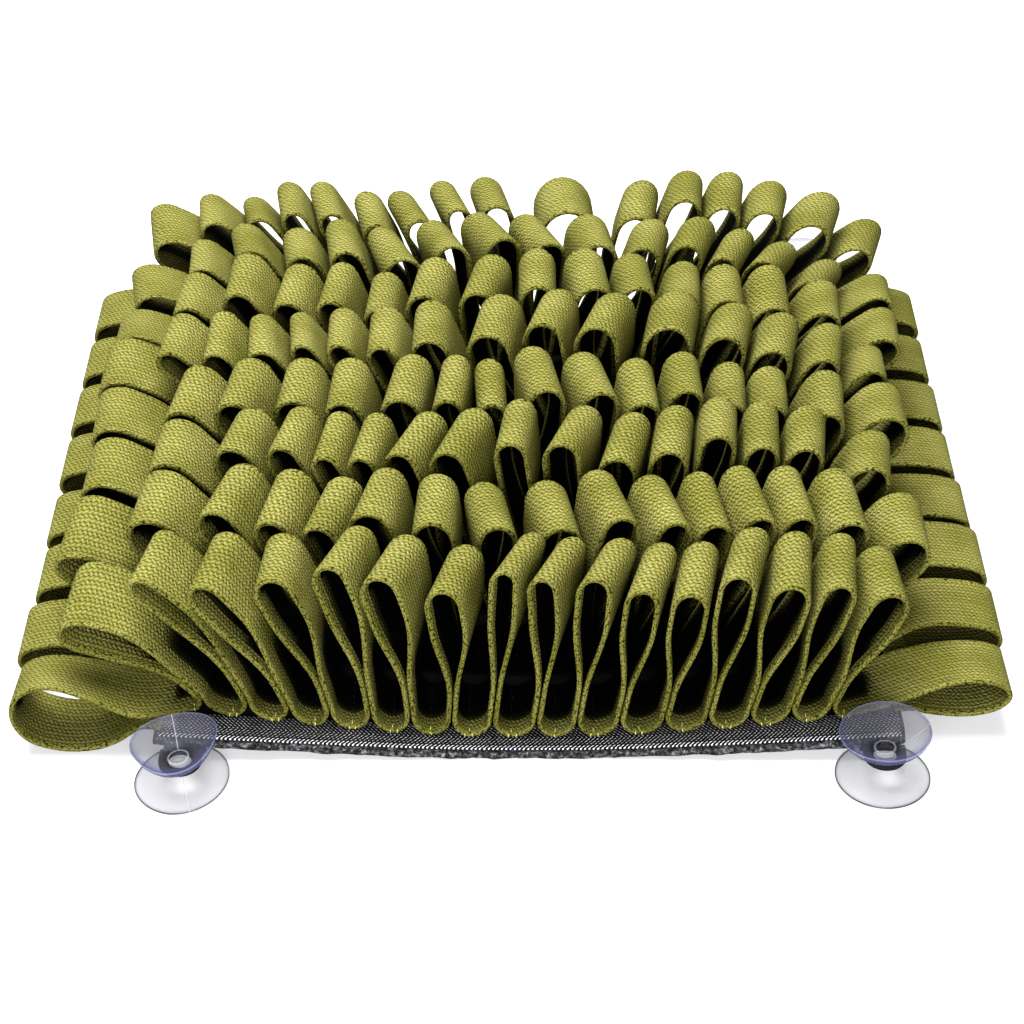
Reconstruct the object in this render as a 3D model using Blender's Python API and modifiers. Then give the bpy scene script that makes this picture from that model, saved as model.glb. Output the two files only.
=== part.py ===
"""Snuffle mat: eight lengths of cotton webbing, each folded into eighteen upright loops and
stitched across a felt base, with a herringbone tape along the front edge and a double suction
cup hung from a tab at each corner.

Metres, +Z up, front towards -Y. The origin is on the floor under the middle of the mat.
"""
import math

import bmesh
import bpy
from mathutils import Matrix, Vector

# ---------------------------------------------------------------- driving dimensions, in mm
BASE_HALF_WIDTH = 159.0      # felt base, X
BASE_HALF_DEPTH = 170.0      # felt base, Y
BASE_THICK = 3.0
FLAT_HALF_WIDTH = 20.0       # the part of the base that lies flat on the floor
SIDE_LIFT = 8.0              # how far the cups and end loops hold the side edges up
LIFT_POWER = 1.3
TAPE_WIDTH = 15.0            # herringbone tape on the front edge
TAPE_THICK = 1.0
TAPE_INSET = 2.0             # felt that shows in front of the tape
GAP = 0.3                    # air between pieces that touch

WEBBING_WIDTH = 32.0
WEBBING_THICK = 2.2
ROWS = 8
ROW_PITCH = 42.0             # front edge to front edge
ROW_INSET = 7.0              # base front edge to the first row
SEAM_PITCH = 17.2            # stitched valley to stitched valley
SEAMS = 17
SEAM_CENTRE = -5.0           # X of the middle seam
BOW_LEFT = 9.0               # the rows' ends bend back by this much
BOW_RIGHT = 5.0
SEAM_HALF_FLAT = 4.0         # half of the flat that each seam holds down
LOOP_CLEARANCE = 1.8         # air left between the widest places of neighbouring loops
NECK_HEIGHT = 7.0            # where two walls of a loop come together
HEAD_SHARE = 0.72            # the widest place of a loop, as a share of its reach
SHOULDER_SHARE = 0.75        # width at the tip, as a share of the widest
ARCH_LEFT = 0.13             # a leaning loop rises steeply first: bend as a share of its lean
ARCH_RIGHT = 0.04

CUP_RADIUS = 20.0
NECK_RADIUS = 4.0
NECK_LEVEL = 11.8            # the tab sits round the neck here
CUP_X = 148.0
FRONT_CUP_OUT = 12.5         # cup centre to the base edge at the front
LEFT_CUP_X = 145.5           # the front left cup hangs further in and further out
LEFT_CUP_OUT = 15.0
BACK_CUP_OUT = 22.5          # and at the back, clear of the last row
CUP_STEPS = 28
TAB_RADIUS = 9.0
TAB_THICK = 1.5
TAB_HOLE_RADIUS = 4.8
TAB_UNDER_BASE = 14.0        # how far the tab runs under the felt
TAB_LEVEL_TO = 5.0           # the tab is level this far from the neck

# Each row: loops 2 to 17, left to right. front, back: X of the crest at the webbing's front
# and back edge. reach: foot to crest. wide: across the loop at its widest.
COLUMNS = ("front", "back", "reach", "wide")
LOOPS = (
    (   # row 1, the front one
        (-196, -190, 77, 18), (-162, -152, 86, 15), (-139, -133, 83, 16), (-105, -101, 82, 18),
        (-84, -72, 87, 15), (-64, -52, 83, 18), (-37, -27, 77, 16), (-11, 2, 84, 11),
        (4, 18, 81, 12), (26, 39, 81, 15), (46, 56, 78, 15), (66, 73, 78, 16),
        (85, 94, 85, 16), (108, 112, 81, 18), (128, 131, 80, 15), (152, 148, 72, 16),
    ),
    (
        (-203, -196, 89, 22), (-168, -163, 91, 22), (-137, -124, 90, 20), (-112, -104, 86, 19),
        (-93, -82, 83, 18), (-69, -62, 86, 21), (-42, -40, 81, 19), (-13, -20, 77, 18),
        (15, 8, 78, 19), (41, 30, 86, 17), (64, 53, 83, 17), (81, 74, 83, 16),
        (100, 91, 86, 16), (117, 111, 86, 15), (139, 133, 85, 18), (167, 166, 78, 22),
    ),
    (
        (-196, -194, 86, 20), (-164, -161, 87, 20), (-133, -125, 88, 18), (-110, -102, 88, 18),
        (-91, -85, 86, 13), (-75, -68, 86, 15), (-59, -45, 88, 16), (-38, -25, 88, 17),
        (-9, -4, 92, 15), (13, 25, 90, 17), (38, 47, 83, 18), (61, 66, 87, 18),
        (82, 85, 93, 17), (102, 104, 88, 16), (121, 125, 87, 18), (153, 157, 78, 20),
    ),
    (
        (-197, -197, 86, 20), (-162, -155, 86, 18), (-137, -130, 87, 20), (-109, -105, 85, 19),
        (-86, -83, 84, 18), (-59, -53, 85, 20), (-37, -33, 86, 15), (-16, -18, 83, 14),
        (9, 2, 91, 18), (34, 25, 88, 19), (53, 50, 84, 17), (72, 71, 89, 17),
        (92, 93, 83, 16), (111, 112, 81, 18), (137, 139, 81, 19), (167, 167, 79, 22),
    ),
    (
        (-200, -198, 86, 20), (-170, -166, 92, 16), (-147, -144, 90, 17), (-124, -126, 89, 16),
        (-104, -107, 91, 12), (-87, -87, 93, 15), (-68, -67, 92, 17), (-46, -45, 93, 18),
        (-20, -13, 93, 21), (5, 14, 97, 19), (30, 41, 95, 21), (65, 70, 94, 24),
        (91, 97, 90, 22), (114, 121, 85, 20), (139, 144, 82, 17), (164, 166, 75, 17),
    ),
    (
        (-198, -199, 81, 20), (-167, -165, 88, 16), (-140, -137, 92, 18), (-116, -111, 85, 19),
        (-94, -89, 86, 15), (-71, -68, 80, 16), (-49, -43, 87, 19), (-24, -16, 88, 19),
        (5, 5, 91, 18), (33, 28, 91, 20), (54, 51, 90, 18), (74, 76, 86, 18),
        (96, 96, 85, 19), (119, 118, 83, 20), (144, 146, 81, 20), (177, 179, 77, 18),
    ),
    (
        (-193, -199, 78, 20), (-164, -166, 83, 15), (-138, -144, 88, 17), (-112, -117, 84, 20),
        (-90, -95, 86, 18), (-61, -74, 81, 20), (-36, -48, 85, 18), (-10, -25, 90, 19),
        (13, -1, 87, 18), (37, 31, 88, 22), (58, 64, 87, 20), (79, 88, 90, 19),
        (97, 109, 83, 16), (117, 131, 80, 18), (143, 156, 74, 18), (179, 181, 74, 16),
    ),
    (
        (-188, -193, 79, 23), (-161, -165, 82, 17), (-135, -141, 80, 17), (-117, -122, 86, 14),
        (-98, -104, 86, 15), (-76, -83, 79, 16), (-54, -65, 80, 16), (-34, -43, 86, 13),
        (-14, -21, 86, 17), (21, 18, 82, 28), (55, 57, 82, 25), (80, 82, 90, 20),
        (100, 102, 88, 19), (121, 125, 85, 21), (146, 152, 82, 24), (172, 180, 73, 20),
    ),
)

# The two end loops of each row lie out sideways. x, z: the middle of the fold. deep: top layer
# to bottom layer. back: how far the fold stands back from its row.
END_COLUMNS = ("x", "z", "deep", "back")
LEFT_ENDS = (
    (-218, 19, 37, -5), (-221, 13, 20, -3), (-219.5, 13, 20, -3), (-221, 12, 18, -3),
    (-221, 14, 20, -3), (-221.5, 14, 20, -3), (-221.5, 14, 20, -3), (-221, 15, 21, -3),
)
RIGHT_ENDS = (
    (205, 20, 21, 7), (205, 19, 20, 3.5), (204.5, 19, 20, 3), (203.5, 16, 18, 3),
    (202.5, 14, 18, 3), (202.5, 13, 17, 3), (201.5, 13, 17, 3), (201.5, 14, 18, 3),
)

# The front row's end loops stand more open than the rest, so each is drawn place by place from
# the floor side, round the fold, to the top layer, as x, z, and how much lower the back edge is.
FRONT_LEFT_FOLD = (
    (-175, 6.5, 0), (-186, 2.4, 0), (-199, 2.4, 0), (-211, 7, 0), (-217, 16.5, 2),
    (-216, 28, 6), (-208, 35, 8), (-197, 35.5, 8), (-183, 29.5, 5), (-167, 22, 0.5),
)
FRONT_RIGHT_FOLD = (
    (170, 12.5, 0), (185, 11, 0), (198, 13.5, 0), (204.5, 19.5, 0), (202, 26, 0),
    (191, 29.5, 0), (177, 27.5, 0), (161, 21.5, 0),
)

# corner: its X, its end, how far its centre stands out from the base edge, and how its upper
# bowl leans, in degrees about X and about Y
CORNERS = {
    "front_left": (-LEFT_CUP_X, -1, LEFT_CUP_OUT, 8.0, -13.0),
    "front_right": (CUP_X, -1, FRONT_CUP_OUT, 0.0, 3.0),
    "back_left": (-CUP_X, 1, BACK_CUP_OUT, 0.0, 0.0),
    "back_right": (CUP_X, 1, BACK_CUP_OUT, 0.0, 0.0),
}

# name: colour, roughness, metallic
FINISHES = {
    "olive cotton webbing": ((0.30, 0.28, 0.07, 1.0), 0.9, 0.0),
    "grey felt": ((0.16, 0.16, 0.16, 1.0), 0.95, 0.0),
    "herringbone tape": ((0.22, 0.22, 0.23, 1.0), 0.7, 0.0),
    "clear soft PVC": ((0.80, 0.81, 0.88, 1.0), 0.12, 0.0),
    "black webbing tab": ((0.02, 0.02, 0.02, 1.0), 0.6, 0.0),
}

MIDDLE_X = 7.5               # the left end loops reach further out than the right ones
MIDDLE_Y = -4.2              # and the back cups further than the front ones

MM = 0.001
FRONT_EDGE = -BASE_HALF_DEPTH
HALF_THICK = WEBBING_THICK / 2
NECK_GAP = HALF_THICK + 0.5


def clear_scene():
    for old in list(bpy.data.objects):
        bpy.data.objects.remove(old, do_unlink=True)


def finish(name):
    """A Principled material from the table of finishes."""
    colour, rough, metal = FINISHES[name]
    material = bpy.data.materials.new(name)
    material.use_nodes = True
    shader = material.node_tree.nodes["Principled BSDF"]
    shader.inputs["Base Color"].default_value = colour
    shader.inputs["Roughness"].default_value = rough
    shader.inputs["Metallic"].default_value = metal
    material.diffuse_color = colour
    return material


def add_part(name, mesh, material):
    mesh.materials.clear()
    mesh.materials.append(material)
    part = bpy.data.objects.new(name, mesh)
    PARTS.objects.link(part)
    return part


def add_solidify(part, thick):
    """Cloth thickness, half to each side of the sheet."""
    wall = part.modifiers.new("thickness", "SOLIDIFY")
    wall.thickness = thick * MM
    wall.offset = 0.0
    wall.use_even_offset = False


# ---------------------------------------------------------------- the base and its tape
def lift(x):
    """Height of the base's underside: flat in the middle, up towards the sides."""
    past_flat = max(abs(x) - FLAT_HALF_WIDTH, 0.0)
    return SIDE_LIFT * (past_flat / (BASE_HALF_WIDTH - FLAT_HALF_WIDTH)) ** LIFT_POWER


def bent_panel(name, half_width, y_front, y_back, z_middle, thick, material):
    """A flat panel cut to size that follows the base's lift."""
    columns = 16
    body = bmesh.new()
    bmesh.ops.create_grid(body, x_segments=columns, y_segments=1, size=1.0)
    for vert in body.verts:
        x = vert.co.x * half_width
        y = y_front if vert.co.y < 0 else y_back
        vert.co = Vector((x, y, z_middle + lift(x))) * MM
    mesh = bpy.data.meshes.new(name)
    body.to_mesh(mesh)
    body.free()
    part = add_part(name, mesh, material)
    add_solidify(part, thick)
    return part


def build_base(felt, tape):
    bent_panel("base_felt", BASE_HALF_WIDTH, FRONT_EDGE, BASE_HALF_DEPTH, BASE_THICK / 2,
               BASE_THICK, felt)
    tape_front = FRONT_EDGE + TAPE_INSET
    tape_middle = BASE_THICK + GAP + TAPE_THICK / 2
    bent_panel("front_tape", BASE_HALF_WIDTH - TAPE_INSET, tape_front, tape_front + TAPE_WIDTH,
               tape_middle, TAPE_THICK, tape)


# ---------------------------------------------------------------- the looped webbing
def seam_x(seam):
    return SEAM_CENTRE + SEAM_PITCH * (seam - (SEAMS - 1) / 2)


def bow(x):
    """How far back the row bends at this X."""
    half_row = SEAM_PITCH * (SEAMS - 1) / 2
    share = (x - SEAM_CENTRE) / half_row
    return (BOW_LEFT if share < 0 else BOW_RIGHT) * share ** 2


def seat(x, row):
    """Middle of the webbing where it is stitched down: on the tape, or on the felt."""
    under = TAPE_THICK + GAP if row == 0 else 0.0
    return BASE_THICK + lift(x) + under + GAP + HALF_THICK


def loop_axis(row, loop, edge):
    """Foot and unit direction of an upright loop, in the X, Z plane, and its reach."""
    sizes = dict(zip(COLUMNS, LOOPS[row][loop - 1]))
    foot_x = (seam_x(loop - 1) + seam_x(loop)) / 2
    foot = Vector((foot_x, seat(foot_x, row)))
    reach = sizes["reach"] - HALF_THICK
    across = sizes[edge] - foot_x
    up = math.sqrt(reach ** 2 - across ** 2)
    return foot, Vector((across, up)) / reach, reach


def axis_place(row, loop, edge, share):
    """A place on a loop's middle line, which bows up a little where the loop leans."""
    foot, way, reach = loop_axis(row, loop, edge)
    side = Vector((way.y, -way.x))
    lean = way.x * reach
    arch = lean * (ARCH_LEFT if lean < 0 else ARCH_RIGHT)
    return foot + way * reach * share - side * arch * 4 * share * (1 - share)


def room_beside(row, loop, edge, share):
    """Smallest distance from this loop's middle line to its neighbours' at a share of reach."""
    here = axis_place(row, loop, edge, share)
    way = loop_axis(row, loop, edge)[1]
    rooms = []
    for other in (loop - 1, loop + 1):
        if not 1 <= other < SEAMS:
            continue
        there = axis_place(row, other, edge, share)
        middle_way = (way + loop_axis(row, other, edge)[1]).normalized()
        rooms.append(abs((there - here).cross(middle_way)))
    return min(rooms)


def upright_loop(row, loop, edge):
    """Neck, head and shoulders of a loop, from its left foot to its right foot."""
    foot, way, reach = loop_axis(row, loop, edge)
    side = Vector((way.y, -way.x))
    wide = LOOPS[row][loop - 1][COLUMNS.index("wide")]
    spare = WEBBING_THICK + LOOP_CLEARANCE
    head = min((wide - WEBBING_THICK) / 2, (room_beside(row, loop, edge, HEAD_SHARE) - spare) / 2)
    tip_room = (room_beside(row, loop, edge, 1.0) - spare) / 2
    shoulder = min(head * SHOULDER_SHARE, tip_room)
    neck_at = axis_place(row, loop, edge, NECK_HEIGHT / reach)
    head_at = axis_place(row, loop, edge, HEAD_SHARE)
    tip = foot + way * reach
    return [
        neck_at - side * NECK_GAP,
        head_at - side * head,
        tip - side * shoulder,
        tip + side * shoulder,
        head_at + side * head,
        neck_at + side * NECK_GAP,
    ]


def end_loop(row, ends, hand, edge):
    """A loop that lies out sideways, from its stitched end round to the outermost seam."""
    start = (BASE_HALF_WIDTH - 4.0) * hand
    over_edge = (BASE_HALF_WIDTH + 5.0) * hand
    on_base = [
        Vector((start, seat(start, row) + 0.3)),
        Vector((over_edge, seat(start, row) + 0.9)),
    ]
    if row == 0:
        fold = FRONT_LEFT_FOLD if hand < 0 else FRONT_RIGHT_FOLD
        share = 1.0 if edge == "back" else 0.0
        return on_base + [Vector((x, z - drop * share)) for x, z, drop in fold]
    sizes = dict(zip(END_COLUMNS, ends[row]))
    out = abs(sizes["x"]) * hand
    half = sizes["deep"] / 2 - HALF_THICK
    bottom = max(sizes["z"] - half, HALF_THICK + GAP)
    top = sizes["z"] + half
    return on_base + [
        Vector((out - 36.0 * hand, bottom)),
        Vector((out - 10.0 * hand, bottom + 0.6)),
        Vector((out, sizes["z"] - half * 0.35)),
        Vector((out - 1.5 * hand, sizes["z"] + half * 0.55)),
        Vector((out - 14.0 * hand, top)),
        Vector((out - 34.0 * hand, top)),
        Vector((start - 1.0 * hand, seat(start, row) + 5.0)),
    ]


def seam_flat(row, seam):
    left = seam_x(seam) - SEAM_HALF_FLAT
    right = seam_x(seam) + SEAM_HALF_FLAT
    return [Vector((left, seat(left, row))), Vector((right, seat(right, row)))]


def webbing_line(row, edge):
    """The whole folded edge of one strip, left to right, as X, Z points with their bow."""
    points = []
    for place in end_loop(row, LEFT_ENDS, -1, edge):
        points.append((place, LEFT_ENDS[row][END_COLUMNS.index("back")]))
    points += [(place, bow(seam_x(0))) for place in seam_flat(row, 0)]
    for loop in range(1, SEAMS):
        foot_x = (seam_x(loop - 1) + seam_x(loop)) / 2
        points += [(place, bow(foot_x)) for place in upright_loop(row, loop, edge)]
        points += [(place, bow(seam_x(loop))) for place in seam_flat(row, loop)]
    for place in reversed(end_loop(row, RIGHT_ENDS, 1, edge)):
        points.append((place, RIGHT_ENDS[row][END_COLUMNS.index("back")]))
    return points


def build_strip(row, webbing):
    """One length of webbing: a flat grid whose two long edges are bent to the folded line."""
    name = f"strip_{row + 1}"
    front = webbing_line(row, "front")
    back = webbing_line(row, "back")
    row_front = FRONT_EDGE + ROW_INSET + ROW_PITCH * row
    body = bmesh.new()
    bmesh.ops.create_grid(body, x_segments=len(front) - 1, y_segments=1, size=1.0)
    for vert in body.verts:
        step = round((vert.co.x + 1) / 2 * (len(front) - 1))
        (near, bent), (far, _) = front[step], back[step]
        skew = (far - near).length
        depth = math.sqrt(WEBBING_WIDTH ** 2 - skew ** 2)
        middle = row_front + bent + WEBBING_WIDTH / 2
        if vert.co.y < 0:
            vert.co = Vector((near.x, middle - depth / 2, near.y)) * MM
        else:
            vert.co = Vector((far.x, middle + depth / 2, far.y)) * MM
    mesh = bpy.data.meshes.new(name)
    body.to_mesh(mesh)
    body.free()
    add_solidify(add_part(name, mesh, webbing), WEBBING_THICK)


# ---------------------------------------------------------------- the suction cups and tabs
def cup_profile():
    """Half section of a double cup, X and Z in mm, from the button down to the lower bowl."""
    upper_inside = ((0.0, 17.4), (4.7, 17.4), (5.2, 16.4), (9.0, 18.0), (15.2, 21.8), (19.6, 25.2))
    upper_outside = ((CUP_RADIUS, 24.8), (15.8, 20.2), (9.4, 16.2), (6.0, 14.8))
    neck = ((NECK_RADIUS, 13.6), (NECK_RADIUS, 9.8), (6.0, 8.4))
    lower_outside = ((9.4, 5.8), (15.6, 2.6), (CUP_RADIUS, 0.5), (CUP_RADIUS - 0.2, 0.0))
    lower_inside = ((CUP_RADIUS - 1.4, 0.0), (15.0, 1.4), (9.0, 4.3), (0.0, 6.0))
    return upper_inside + upper_outside + neck + lower_outside + lower_inside


def turned_mesh(name, profile):
    """A full turn of the profile round Z."""
    line = bpy.data.meshes.new(name + "_profile")
    body = bmesh.new()
    verts = [body.verts.new((x * MM, 0.0, z * MM)) for x, z in profile]
    for first, second in zip(verts, verts[1:]):
        body.edges.new((first, second))
    body.to_mesh(line)
    body.free()
    holder = bpy.data.objects.new(name + "_profile", line)
    PARTS.objects.link(holder)
    turn = holder.modifiers.new("turn", "SCREW")
    turn.steps = CUP_STEPS
    turn.render_steps = CUP_STEPS
    turn.use_merge_vertices = True
    turn.merge_threshold = 0.0001
    bpy.context.view_layer.update()
    seen = holder.evaluated_get(bpy.context.evaluated_depsgraph_get())
    mesh = bpy.data.meshes.new_from_object(seen)
    bpy.data.objects.remove(holder, do_unlink=True)
    return mesh


def build_cups(material):
    for corner, (x, end, out, lean_x, lean_y) in CORNERS.items():
        mesh = turned_mesh(f"cup_{corner}", cup_profile())
        hinge = Vector((0.0, 0.0, NECK_LEVEL * MM))
        turn = Matrix.Rotation(math.radians(lean_x), 4, "X") @ Matrix.Rotation(
            math.radians(lean_y), 4, "Y")
        for vert in mesh.vertices:
            if vert.co.z > hinge.z:
                vert.co = turn @ (vert.co - hinge) + hinge
        mesh.shade_smooth()
        part = add_part(f"cup_{corner}", mesh, material)
        part.location = (x * MM, end * (BASE_HALF_DEPTH + out) * MM, 0.0)


def tab_outline(out):
    """A strap with a round end; the round end is about the origin, the strap runs to +Y."""
    arc_steps = 14
    slope = out - GAP - TAB_LEVEL_TO
    bends = [TAB_LEVEL_TO + slope * share for share in (0.0, 0.33, 0.67, 1.0)]
    bends.append(out + TAB_UNDER_BASE)
    points = []
    for step in range(arc_steps + 1):
        angle = math.pi + math.pi * step / arc_steps
        points.append((TAB_RADIUS * math.cos(angle), TAB_RADIUS * math.sin(angle)))
    points += [(TAB_RADIUS, y) for y in bends]
    points += [(-TAB_RADIUS, y) for y in reversed(bends)]
    return points


def tab_hole():
    steps = 20
    return [(TAB_HOLE_RADIUS * math.cos(2 * math.pi * step / steps),
             TAB_HOLE_RADIUS * math.sin(2 * math.pi * step / steps)) for step in range(steps)]


def tab_mesh(name, out):
    """Flat tab with its hole, as a filled outline of the tab's thickness."""
    shape = bpy.data.curves.new(name, "CURVE")
    shape.dimensions = "2D"
    shape.fill_mode = "BOTH"
    shape.extrude = TAB_THICK / 2 * MM
    for outline in (tab_outline(out), tab_hole()):
        spline = shape.splines.new("POLY")
        spline.points.add(len(outline) - 1)
        for point, (x, y) in zip(spline.points, outline):
            point.co = (x * MM, y * MM, 0.0, 1.0)
        spline.use_cyclic_u = True
    holder = bpy.data.objects.new(name + "_outline", shape)
    PARTS.objects.link(holder)
    bpy.context.view_layer.update()
    seen = holder.evaluated_get(bpy.context.evaluated_depsgraph_get())
    mesh = bpy.data.meshes.new_from_object(seen)
    bpy.data.objects.remove(holder, do_unlink=True)
    body = bmesh.new()
    body.from_mesh(mesh)
    bmesh.ops.remove_doubles(body, verts=body.verts, dist=0.00001)
    body.to_mesh(mesh)
    body.free()
    return mesh


def build_tabs(material):
    """Each tab is level round the cup's neck and slopes down to run under the felt."""
    for corner, (x, end, out, _, _) in CORNERS.items():
        mesh = tab_mesh(f"tab_{corner}", out)
        under = lift(abs(x) - TAB_RADIUS) - GAP - TAB_THICK / 2
        drop = NECK_LEVEL - under
        slope = out - GAP - TAB_LEVEL_TO
        for vert in mesh.vertices:
            share = min(max((vert.co.y / MM - TAB_LEVEL_TO) / slope, 0.0), 1.0)
            vert.co.z -= drop * share * share * (3 - 2 * share) * MM
        part = add_part(f"tab_{corner}", mesh, material)
        place = Vector((x, end * (BASE_HALF_DEPTH + out), NECK_LEVEL))
        part.location = place * MM
        part.rotation_euler = (0.0, 0.0, 0.0 if end < 0 else math.pi)


clear_scene()
PARTS = bpy.data.collections.new("snuffle mat")
bpy.context.scene.collection.children.link(PARTS)
MATERIALS = {name: finish(name) for name in FINISHES}
build_base(MATERIALS["grey felt"], MATERIALS["herringbone tape"])
for number in range(ROWS):
    build_strip(number, MATERIALS["olive cotton webbing"])
build_cups(MATERIALS["clear soft PVC"])
build_tabs(MATERIALS["black webbing tab"])
for made in PARTS.objects:
    made.location.x += MIDDLE_X * MM
    made.location.y += MIDDLE_Y * MM
bpy.context.view_layer.update()
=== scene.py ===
# %% [markdown]
# # A snuffle mat made of looped webbing
#
# A snuffle mat hides dry treats from a dog. This one is eight lengths of heavy olive cotton
# webbing, each stitched across a grey felt base in sixteen upright loops and one lying at each
# end. A herringbone tape covers the front edge, and a clear double suction cup hangs from a
# black tab at each corner.
#
# The script loads the mat's plain solids as a fixed frame, and makes each piece again with its
# weave, woven edges and stitches. Sizes are in millimetres until a mesh is placed.

import math
import random
from functools import partial
from itertools import accumulate

import bmesh
import bpy
from mathutils import Matrix, Vector, noise


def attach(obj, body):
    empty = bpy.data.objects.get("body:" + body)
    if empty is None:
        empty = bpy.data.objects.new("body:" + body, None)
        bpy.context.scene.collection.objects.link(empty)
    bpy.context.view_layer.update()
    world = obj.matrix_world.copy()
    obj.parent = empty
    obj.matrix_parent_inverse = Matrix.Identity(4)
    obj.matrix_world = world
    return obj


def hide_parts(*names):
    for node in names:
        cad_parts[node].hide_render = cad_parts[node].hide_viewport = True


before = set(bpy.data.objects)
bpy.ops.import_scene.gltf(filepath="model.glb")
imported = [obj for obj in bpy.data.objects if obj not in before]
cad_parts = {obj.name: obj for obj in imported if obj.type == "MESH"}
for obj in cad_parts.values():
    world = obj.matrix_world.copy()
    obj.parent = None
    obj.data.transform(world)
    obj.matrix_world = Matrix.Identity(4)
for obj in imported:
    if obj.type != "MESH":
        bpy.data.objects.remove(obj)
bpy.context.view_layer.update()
MM = 0.001
random.seed(7)


def new_object(name, data):
    made = bpy.data.objects.new(name, data)
    bpy.context.scene.collection.objects.link(made)
    return made


def mesh_object(name, body):
    """A smooth object from a bmesh, which is freed."""
    for face in body.faces:
        face.smooth = True
    mesh = bpy.data.meshes.new(name)
    body.to_mesh(mesh)
    body.free()
    return new_object(name, mesh)


# %% [markdown]
# ## The camera
#
# The mat is seen from in front and above, so that the front row shows its folds end on and the
# rows behind show their crests. A long lens keeps the rows nearly parallel.

# %% Camera
CAMERA_PLACE = (0.2, -942.7, 720.0)
CAMERA_TILT = 52.53  # degrees up from straight down
CAMERA_LENS = 86.9

camera_data = bpy.data.cameras.new("camera")
camera_data.lens = CAMERA_LENS
camera_data.sensor_width = 36.0
camera_data.clip_start = 0.01
camera = new_object("camera", camera_data)
camera.location = Vector(CAMERA_PLACE) * MM
camera.rotation_euler = (math.radians(CAMERA_TILT), 0.0, 0.0)
bpy.context.scene.camera = camera
print("camera at", CAMERA_PLACE, "mm")

# %% [markdown]
# ## Sizes of the webbing
#
# Cotton webbing of this weight is 32 mm wide and a little over 2 mm thick. Every strip is
# stitched down every 17 mm, and the webbing between two seams stands up as a loop. The ends of
# the rows lie higher and further back than the middle, because the cups hold the base up there.

# %% Webbing and base sizes
BASE_HALF_WIDTH = 159.0
BASE_HALF_DEPTH = 170.0
BASE_THICK = 3.0
FLAT_HALF_WIDTH = 20.0  # the felt lies flat out to here
SIDE_LIFT = 8.0  # and is this far up at its sides
LIFT_POWER = 1.3
TAPE_WIDTH = 15.0
TAPE_THICK = 1.0
TAPE_INSET = 2.0
GAP = 0.3
MIDDLE = Vector((7.5, -4.2, 0.0))  # the mat's middle line in the frame

WEBBING_WIDTH = 32.0
WEBBING_THICK = 2.2
ROWS = 8
ROW_PITCH = 42.0
ROW_INSET = 7.0
SEAM_PITCH = 17.2
SEAMS = 17
SEAM_CENTRE = -5.0
# the front row is sewn by hand, so its seams stand this far from their even places
FRONT_SEAM_SHIFTS = (0, -0.7, 0, 0, -1.4, -1.2, -2.6, -3.3, -2.4, -1.4, -1.9, 0, 1.4, 2.7, 2.2,
                     2.4, 1.5)
BOW_LEFT = 9.0  # how far back a row bends by its last seam
BOW_RIGHT = 5.0
FRONT_EDGE = -BASE_HALF_DEPTH
HALF_THICK = WEBBING_THICK / 2


def lift(x):
    """Height of the felt's underside above the floor."""
    past_flat = max(abs(x) - FLAT_HALF_WIDTH, 0.0)
    return SIDE_LIFT * (past_flat / (BASE_HALF_WIDTH - FLAT_HALF_WIDTH)) ** LIFT_POWER


def seam_x(seam, row):
    even = SEAM_CENTRE + SEAM_PITCH * (seam - (SEAMS - 1) / 2)
    return even + (FRONT_SEAM_SHIFTS[seam] if row == 0 else 0.0)


def bow(x):
    """How far back a row bends at this X."""
    share = (x - SEAM_CENTRE) / (SEAM_PITCH * (SEAMS - 1) / 2)
    return (BOW_LEFT if share < 0 else BOW_RIGHT) * share ** 2


def row_front(row):
    return FRONT_EDGE + ROW_INSET + ROW_PITCH * row


def seat(x, row):
    """Middle of the webbing where it is stitched down."""
    under = TAPE_THICK + GAP if row == 0 else 0.0
    return BASE_THICK + lift(x) + under + GAP + HALF_THICK


print("front seams at X", [round(seam_x(seam, 0)) for seam in range(SEAMS)])

# %% [markdown]
# ## How each loop stands
#
# No two loops are alike, which is what makes the mat look like cloth. Each loop is told by where
# its crest stands at the webbing's front edge and at its back edge, and by its widest place. A
# crest that stands further left at the back than at the front twists the whole loop.

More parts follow.
